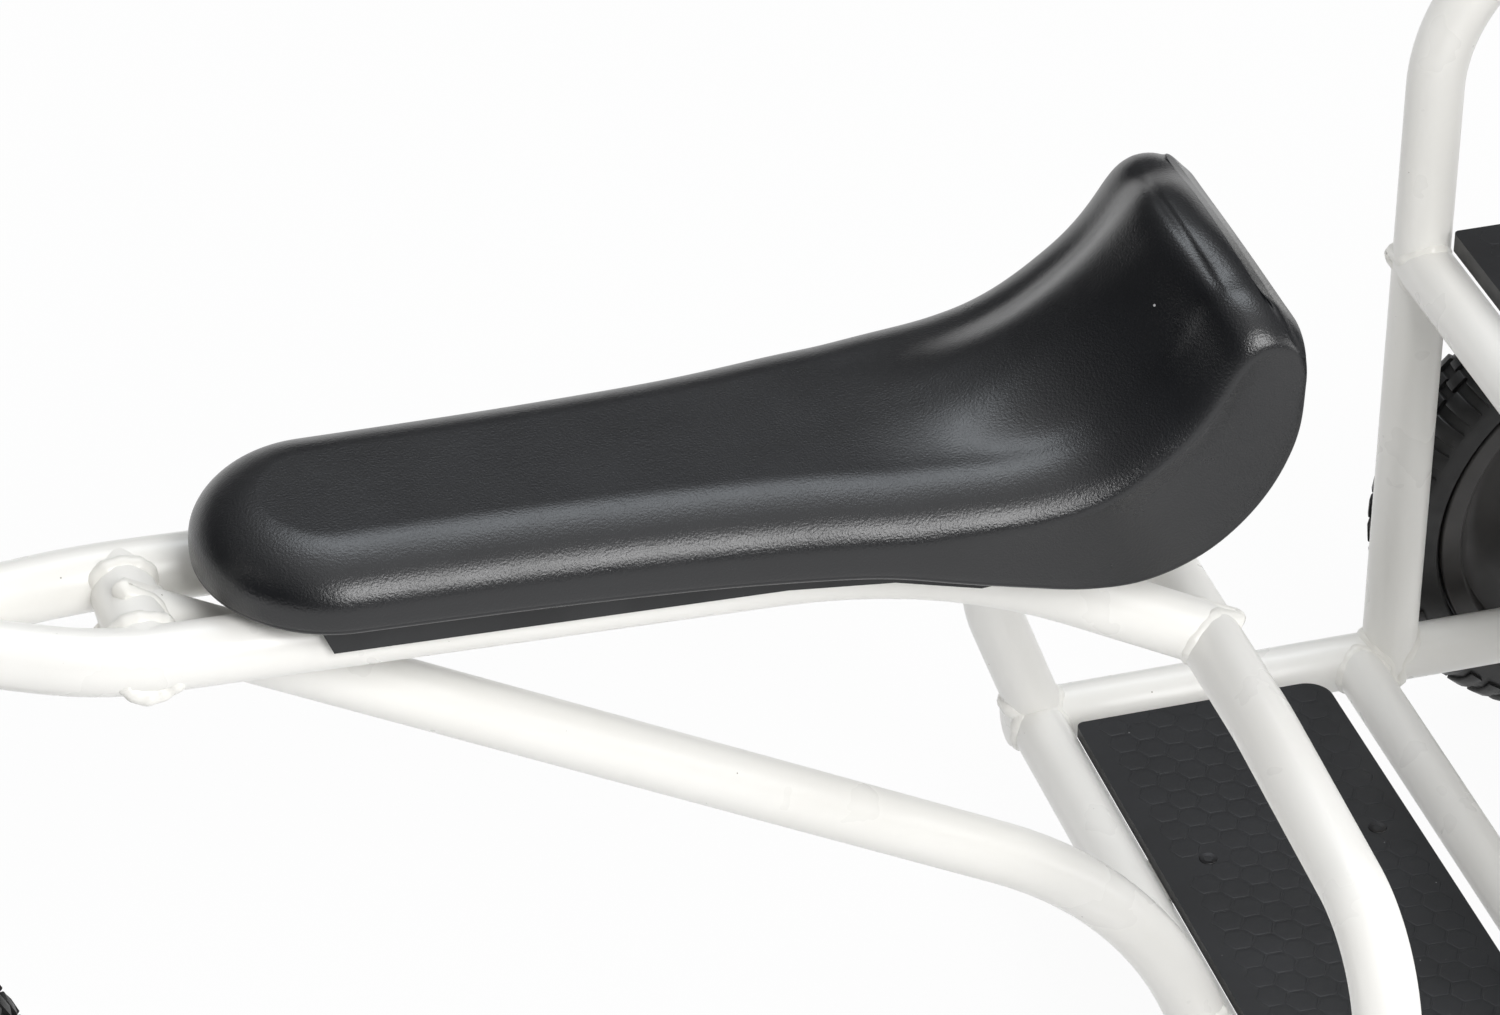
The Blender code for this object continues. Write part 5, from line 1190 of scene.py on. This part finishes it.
def build_stem_and_bar():
    bar_x, sweep, rise = -0.030, 0.026, 0.055
    heights = (STEERER_TOP + GAP, BAR_HEIGHT - 0.002, BAR_HEIGHT)
    post = sweep_mesh("post", as_points([(0, 0, z) for z in heights]), [0.0125, 0.0125, 0.0112])
    arm = sweep_mesh("arm", as_points([(0, 0, BAR_HEIGHT - 0.0105), (bar_x, 0, BAR_HEIGHT)]), 0.0105, 48)
    sleeve = (ring_mesh(0.0113, 0.016, 0.022, 0.0012), place((bar_x, 0.0, BAR_HEIGHT)) @ turn(90, "X"))
    add("coated_stem", joined("stem", [post, arm, sleeve]), COAT, "stem", STEERING, "steering")
    half = [
        (bar_x, 0.060, BAR_HEIGHT),
        (bar_x + 0.3 * sweep, 0.1175, BAR_HEIGHT + rise),
        (bar_x + sweep, 0.235, BAR_HEIGHT + rise),
    ]
    route = rounded_path(both_sides(half), (0.045, 0.050, 0.050, 0.045))
    add("coated_handlebar", sweep_mesh("bar", route, 0.011, 48), COAT, "handlebar", STEERING, "steering")
    for side, tip, before in (("left", route[0], route[1]), ("right", route[-1], route[-2])):
        outward = (tip - before).normalized().to_track_quat("Z", "Y").to_matrix()
        spot = STEERING @ place(tip, outward)
        add(f"ribbed_grip_{side}", grip_mesh(), GRIP_RUBBER, f"grip_{side}", spot, "steering")


def grip_mesh():
    """A rubber grip with finger rings, a flange and a domed end."""
    length, radius, inner, bore, rings = 0.092, 0.0146, 0.0135, 0.0113, 14
    profile = [(0.0, 0.0039), (0.006, 0.0038), (0.0115, 0.0027), (0.0140, 0.0008), (radius, -0.0020)]
    for i in range(rings):
        z = -0.006 - (length - 0.016) * i / rings
        profile += [(radius, z), (inner, z - 0.0014), (inner, z - 0.0030), (radius, z - 0.0042)]
    flange = [(radius, 0.0085), (0.0165, 0.0055), (0.0196, 0.0036), (0.0200, 0.0022), (0.0196, 0.0)]
    profile += [(r, h - length) for r, h in flange] + [(bore, -length), (bore, 0.0), (0.0, 0.0)]
    return lathe_mesh("grip", profile)


def build_front_wheel():
    lying = place(FRONT_AXLE) @ turn(90, "X")
    body = "front_wheel"
    add("treaded_tyre_front", tyre_mesh(FRONT_AXLE.z, 0.121, 62), RUBBER, "front_tyre", lying, body)
    add("ribbed_rim_front", rim_mesh(0.121, 0.0088, 0.033), RIM, "front_rim", lying, body, 0.0005)
    end, radius, collar, collar_end, collar_start = 0.072, 0.0085, 0.0120, 0.0405, 0.0333
    half = [
        (0.0, end), (0.0078, end), (radius, end - 0.0008), (radius, collar_end), (0.0114, collar_end),
        (collar, collar_end - 0.0006), (collar, collar_start), (radius, collar_start),
    ]
    add("crank_axle_rod", lathe_mesh("axle", both_ways(half), 48), STEEL, "crank_axle", lying, body)
    for side, sign in SIDES:
        build_crank(side, sign)
        build_pedal(side, sign)


def build_crank(side, sign):
    """A forged arm with a boss, an eye and its pedal spindle."""
    outline = arc((0.0, 0.0), 0.016, 85, 275, 24) + arc((CRANK, 0.0), 0.011, -85, 85, 18)
    arm = prism_mesh("arm", outline, 0.010)
    if sign < 0:
        arm.transform(turn(180, "Z"))
    middle = FRONT_AXLE + Vector((0.0, sign * 0.067, 0.0))
    lying = place(middle) @ turn(90, "X")
    add(f"forged_crank_{side}", arm, STEEL, f"crank_{side}", lying, "front_wheel", 0.0022, 4)
    outward = turn(-90 * sign, "X")
    top, step, head = 0.0062, 0.0052, 0.0075
    cap = [(0.0, top), (0.0040, top), (0.0046, step), (0.0108, step)]
    cap += [(0.0118, 0.0044), (0.0118, 0.0), (0.0, 0.0)]
    spindle = [
        (0.0, 0.093), (0.0070, 0.0928), (head, 0.0920), (head, 0.0892), (0.0045, 0.0890), (0.0045, 0.0052),
        (0.0082, 0.0050), (0.0082, 0.0), (0.0, 0.0),
    ]
    pieces = [
        (lathe_mesh("cap", cap, 40), place(middle) @ outward),
        (lathe_mesh("spindle", spindle, 40), place(middle + Vector((sign * CRANK, 0, 0))) @ outward),
    ]
    add(f"pedal_spindle_{side}", joined("spindle", pieces), STEEL, body="front_wheel")


def build_pedal(side, sign):
    """A block pedal: a sleeve on the spindle between end plates, with ribbed treads above and below."""
    centre = FRONT_AXLE + Vector((sign * CRANK, sign * 0.114, 0.0))
    half_length, half_width, half_height, plate = 0.039, 0.031, 0.011, 0.0045
    length = 2 * half_length - 0.004
    lying = turn(90, "X")
    parts = [(ring_mesh(0.0050, 0.0088, half_length - 0.001, 0.0006, 40), lying)]
    side_plate = centred_rectangle(half_width, half_height, 0.0048, 8)
    for end in (-1, 1):
        spot = place((0, end * (half_length - plate / 2), 0))
        parts.append((prism_mesh("end", side_plate, plate), spot @ lying))
    for level in (-1, 1):
        for k in range(5):
            x = -half_width + 0.0060 + k * (2 * half_width - 0.0120) / 4
            bar = prism_mesh("bar", centred_rectangle(0.0036, 0.0030, 0.0012, 4), length)
            parts.append((bar, place((x, 0, level * (half_height - 0.0031))) @ lying))
            for j in range(9):
                y = -half_length + 0.0095 + j * (2 * half_length - 0.019) / 8
                stud = prism_mesh("stud", centred_rectangle(0.0024, 0.0016, 0.0006, 2), 0.0008)
                parts.append((stud, place((x, y, level * (half_height - 0.0002)))))
    for start, end in ((-0.0200, -0.0085), (0.0085, 0.0200)):
        rib = rounded_rectangle((start, -0.0022), (end, 0.0022), (0.0008,) * 4, 3)
        parts.append((prism_mesh("rib", rib, length), lying))
    body = node = f"pedal_{side}"
    add(f"block_pedal_{side}", joined("pedal", parts), PLASTIC, node, place(centre), body)


# Floor, light and camera


FLOOR_GLOW, FLOOR_REACH = 0.95, 2.6
# The studio as it is seen and mirrored: how its light rises to the ceiling, its share toward -X, and the
# height of the white horizon. The tent level is what lights the object.
CEILING_RISE, FRONT_LEVEL, HORIZON_TOP = 2.2, 0.10, 0.10
TENT_LEVEL = 0.56


def build_stage():
    """A pale floor that shows white where it is seen directly or mirrored, and keeps the object's shadow."""
    ground = bpy.data.meshes.new("floor")
    corners = [(x * FLOOR_REACH, y * FLOOR_REACH, 0) for x, y in ((-1, -1), (1, -1), (1, 1), (-1, 1))]
    ground.from_pydata(corners, [], [(0, 1, 2, 3)])
    floor = in_scene("floor", ground)
    floor.location.z = -0.0005
    finish = Finish("pale_floor", roughness=0.85)
    grain = finish.ramp(finish.noise(3.0, 4.0), 0.3, 0.7)
    colour = finish.mix(grain, (0.80, 0.80, 0.80), (0.83, 0.83, 0.83))
    finish.feed(finish.shader.inputs["Base Color"], colour)
    glow = finish.node("ShaderNodeEmission")
    glow.inputs["Color"].default_value = (1, 1, 1, 1)
    blend = finish.node("ShaderNodeMixShader")
    finish.feed(blend.inputs["Fac"], finish.maths("MULTIPLY", finish.direct_sight(), FLOOR_GLOW))
    finish.feed(blend.inputs[1], finish.shader.outputs["BSDF"])
    finish.feed(blend.inputs[2], glow.outputs["Emission"])
    finish.feed(finish.tree.nodes["Material Output"].inputs["Surface"], blend.outputs["Shader"])
    floor.data.materials.append(finish.material)


def build_world():
    """A studio that is white at the horizon and overhead, and darker between them, most of all toward -X."""
    world = bpy.data.worlds.new("studio")
    bpy.context.scene.world = world
    world.use_nodes = True
    studio = Nodes(world.node_tree)
    direction = studio.node("ShaderNodeSeparateXYZ")
    studio.feed(direction.inputs["Vector"], studio.node("ShaderNodeTexCoord").outputs["Generated"])
    height = direction.outputs["Z"]
    rise = studio.maths("POWER", height, CEILING_RISE, use_clamp=True)
    side = studio.ramp(direction.outputs["X"], -0.75, -0.05, FRONT_LEVEL, 1.0)
    horizon = studio.ramp(height, 0.0, HORIZON_TOP, 1.0, 0.0, interpolation_type="SMOOTHSTEP")
    backdrop = studio.maths("MAXIMUM", studio.maths("MULTIPLY", rise, side), horizon)
    room = world.node_tree.nodes["Background"]
    room.inputs["Color"].default_value = (1, 1, 1, 1)
    studio.feed(room.inputs["Strength"], studio.mix(studio.direct_sight(), TENT_LEVEL, backdrop, "FLOAT"))


def add_softbox(name, azimuth, elevation, distance, size, power, colour=(1, 1, 1)):
    """A rectangular area light that faces the saddle. Azimuth 0 is the camera's side and 90 the bench's."""
    data = bpy.data.lights.new(name, "AREA")
    data.shape = "RECTANGLE"
    data.size, data.size_y = size
    data.energy = power
    data.color = colour
    lamp = in_scene(name, data)
    a, e = math.radians(azimuth), math.radians(elevation)
    away = Vector((math.sin(a) * math.cos(e), -math.cos(a) * math.cos(e), math.sin(e)))
    lamp.location = Vector((0.0, 0.0, 0.40)) + away * distance
    lamp.rotation_euler = away.to_track_quat("Z", "Y").to_euler()


def build_lights():
    add_softbox("front_softbox", 12, 38, 2.6, (1.3, 1.2), 43)
    add_softbox("right_softbox", 64, 14, 3.0, (1.3, 1.5), 18)
    add_softbox("back_softbox", 162, 64, 3.0, (1.8, 1.1), 21, (0.88, 0.94, 1.0))


def build_camera():
    """The photograph's viewpoint: a long lens about 2.3 m away, to the rider's left and above."""
    data = bpy.data.cameras.new("camera")
    data.sensor_fit = "HORIZONTAL"
    data.sensor_width = 36.0
    data.lens = 129.312
    camera = in_scene("camera", data)
    right = Vector((0.95958878, -0.28140234, 0.00144524))
    up = Vector((0.15661707, 0.53832078, 0.82805907))
    back = -Vector((0.23379576, 0.79436985, -0.56063899))
    spot = Vector((-0.53039645, -1.80213253, 1.27188333 + 0.417)) + SHIFT
    turned = Matrix((right, up, back)).transposed()
    camera.matrix_world = Matrix.Translation(spot) @ turned.to_4x4()
    bpy.context.scene.camera = camera


build_camera()
build_frame_tubes()
build_welds()
build_boards()
build_saddle()
build_saddle_mount()
build_rear_axle()
build_head()
build_fork()
build_stem_and_bar()
build_front_wheel()
build_stage()
build_world()
build_lights()

bpy.context.scene.view_settings.view_transform = "Standard"
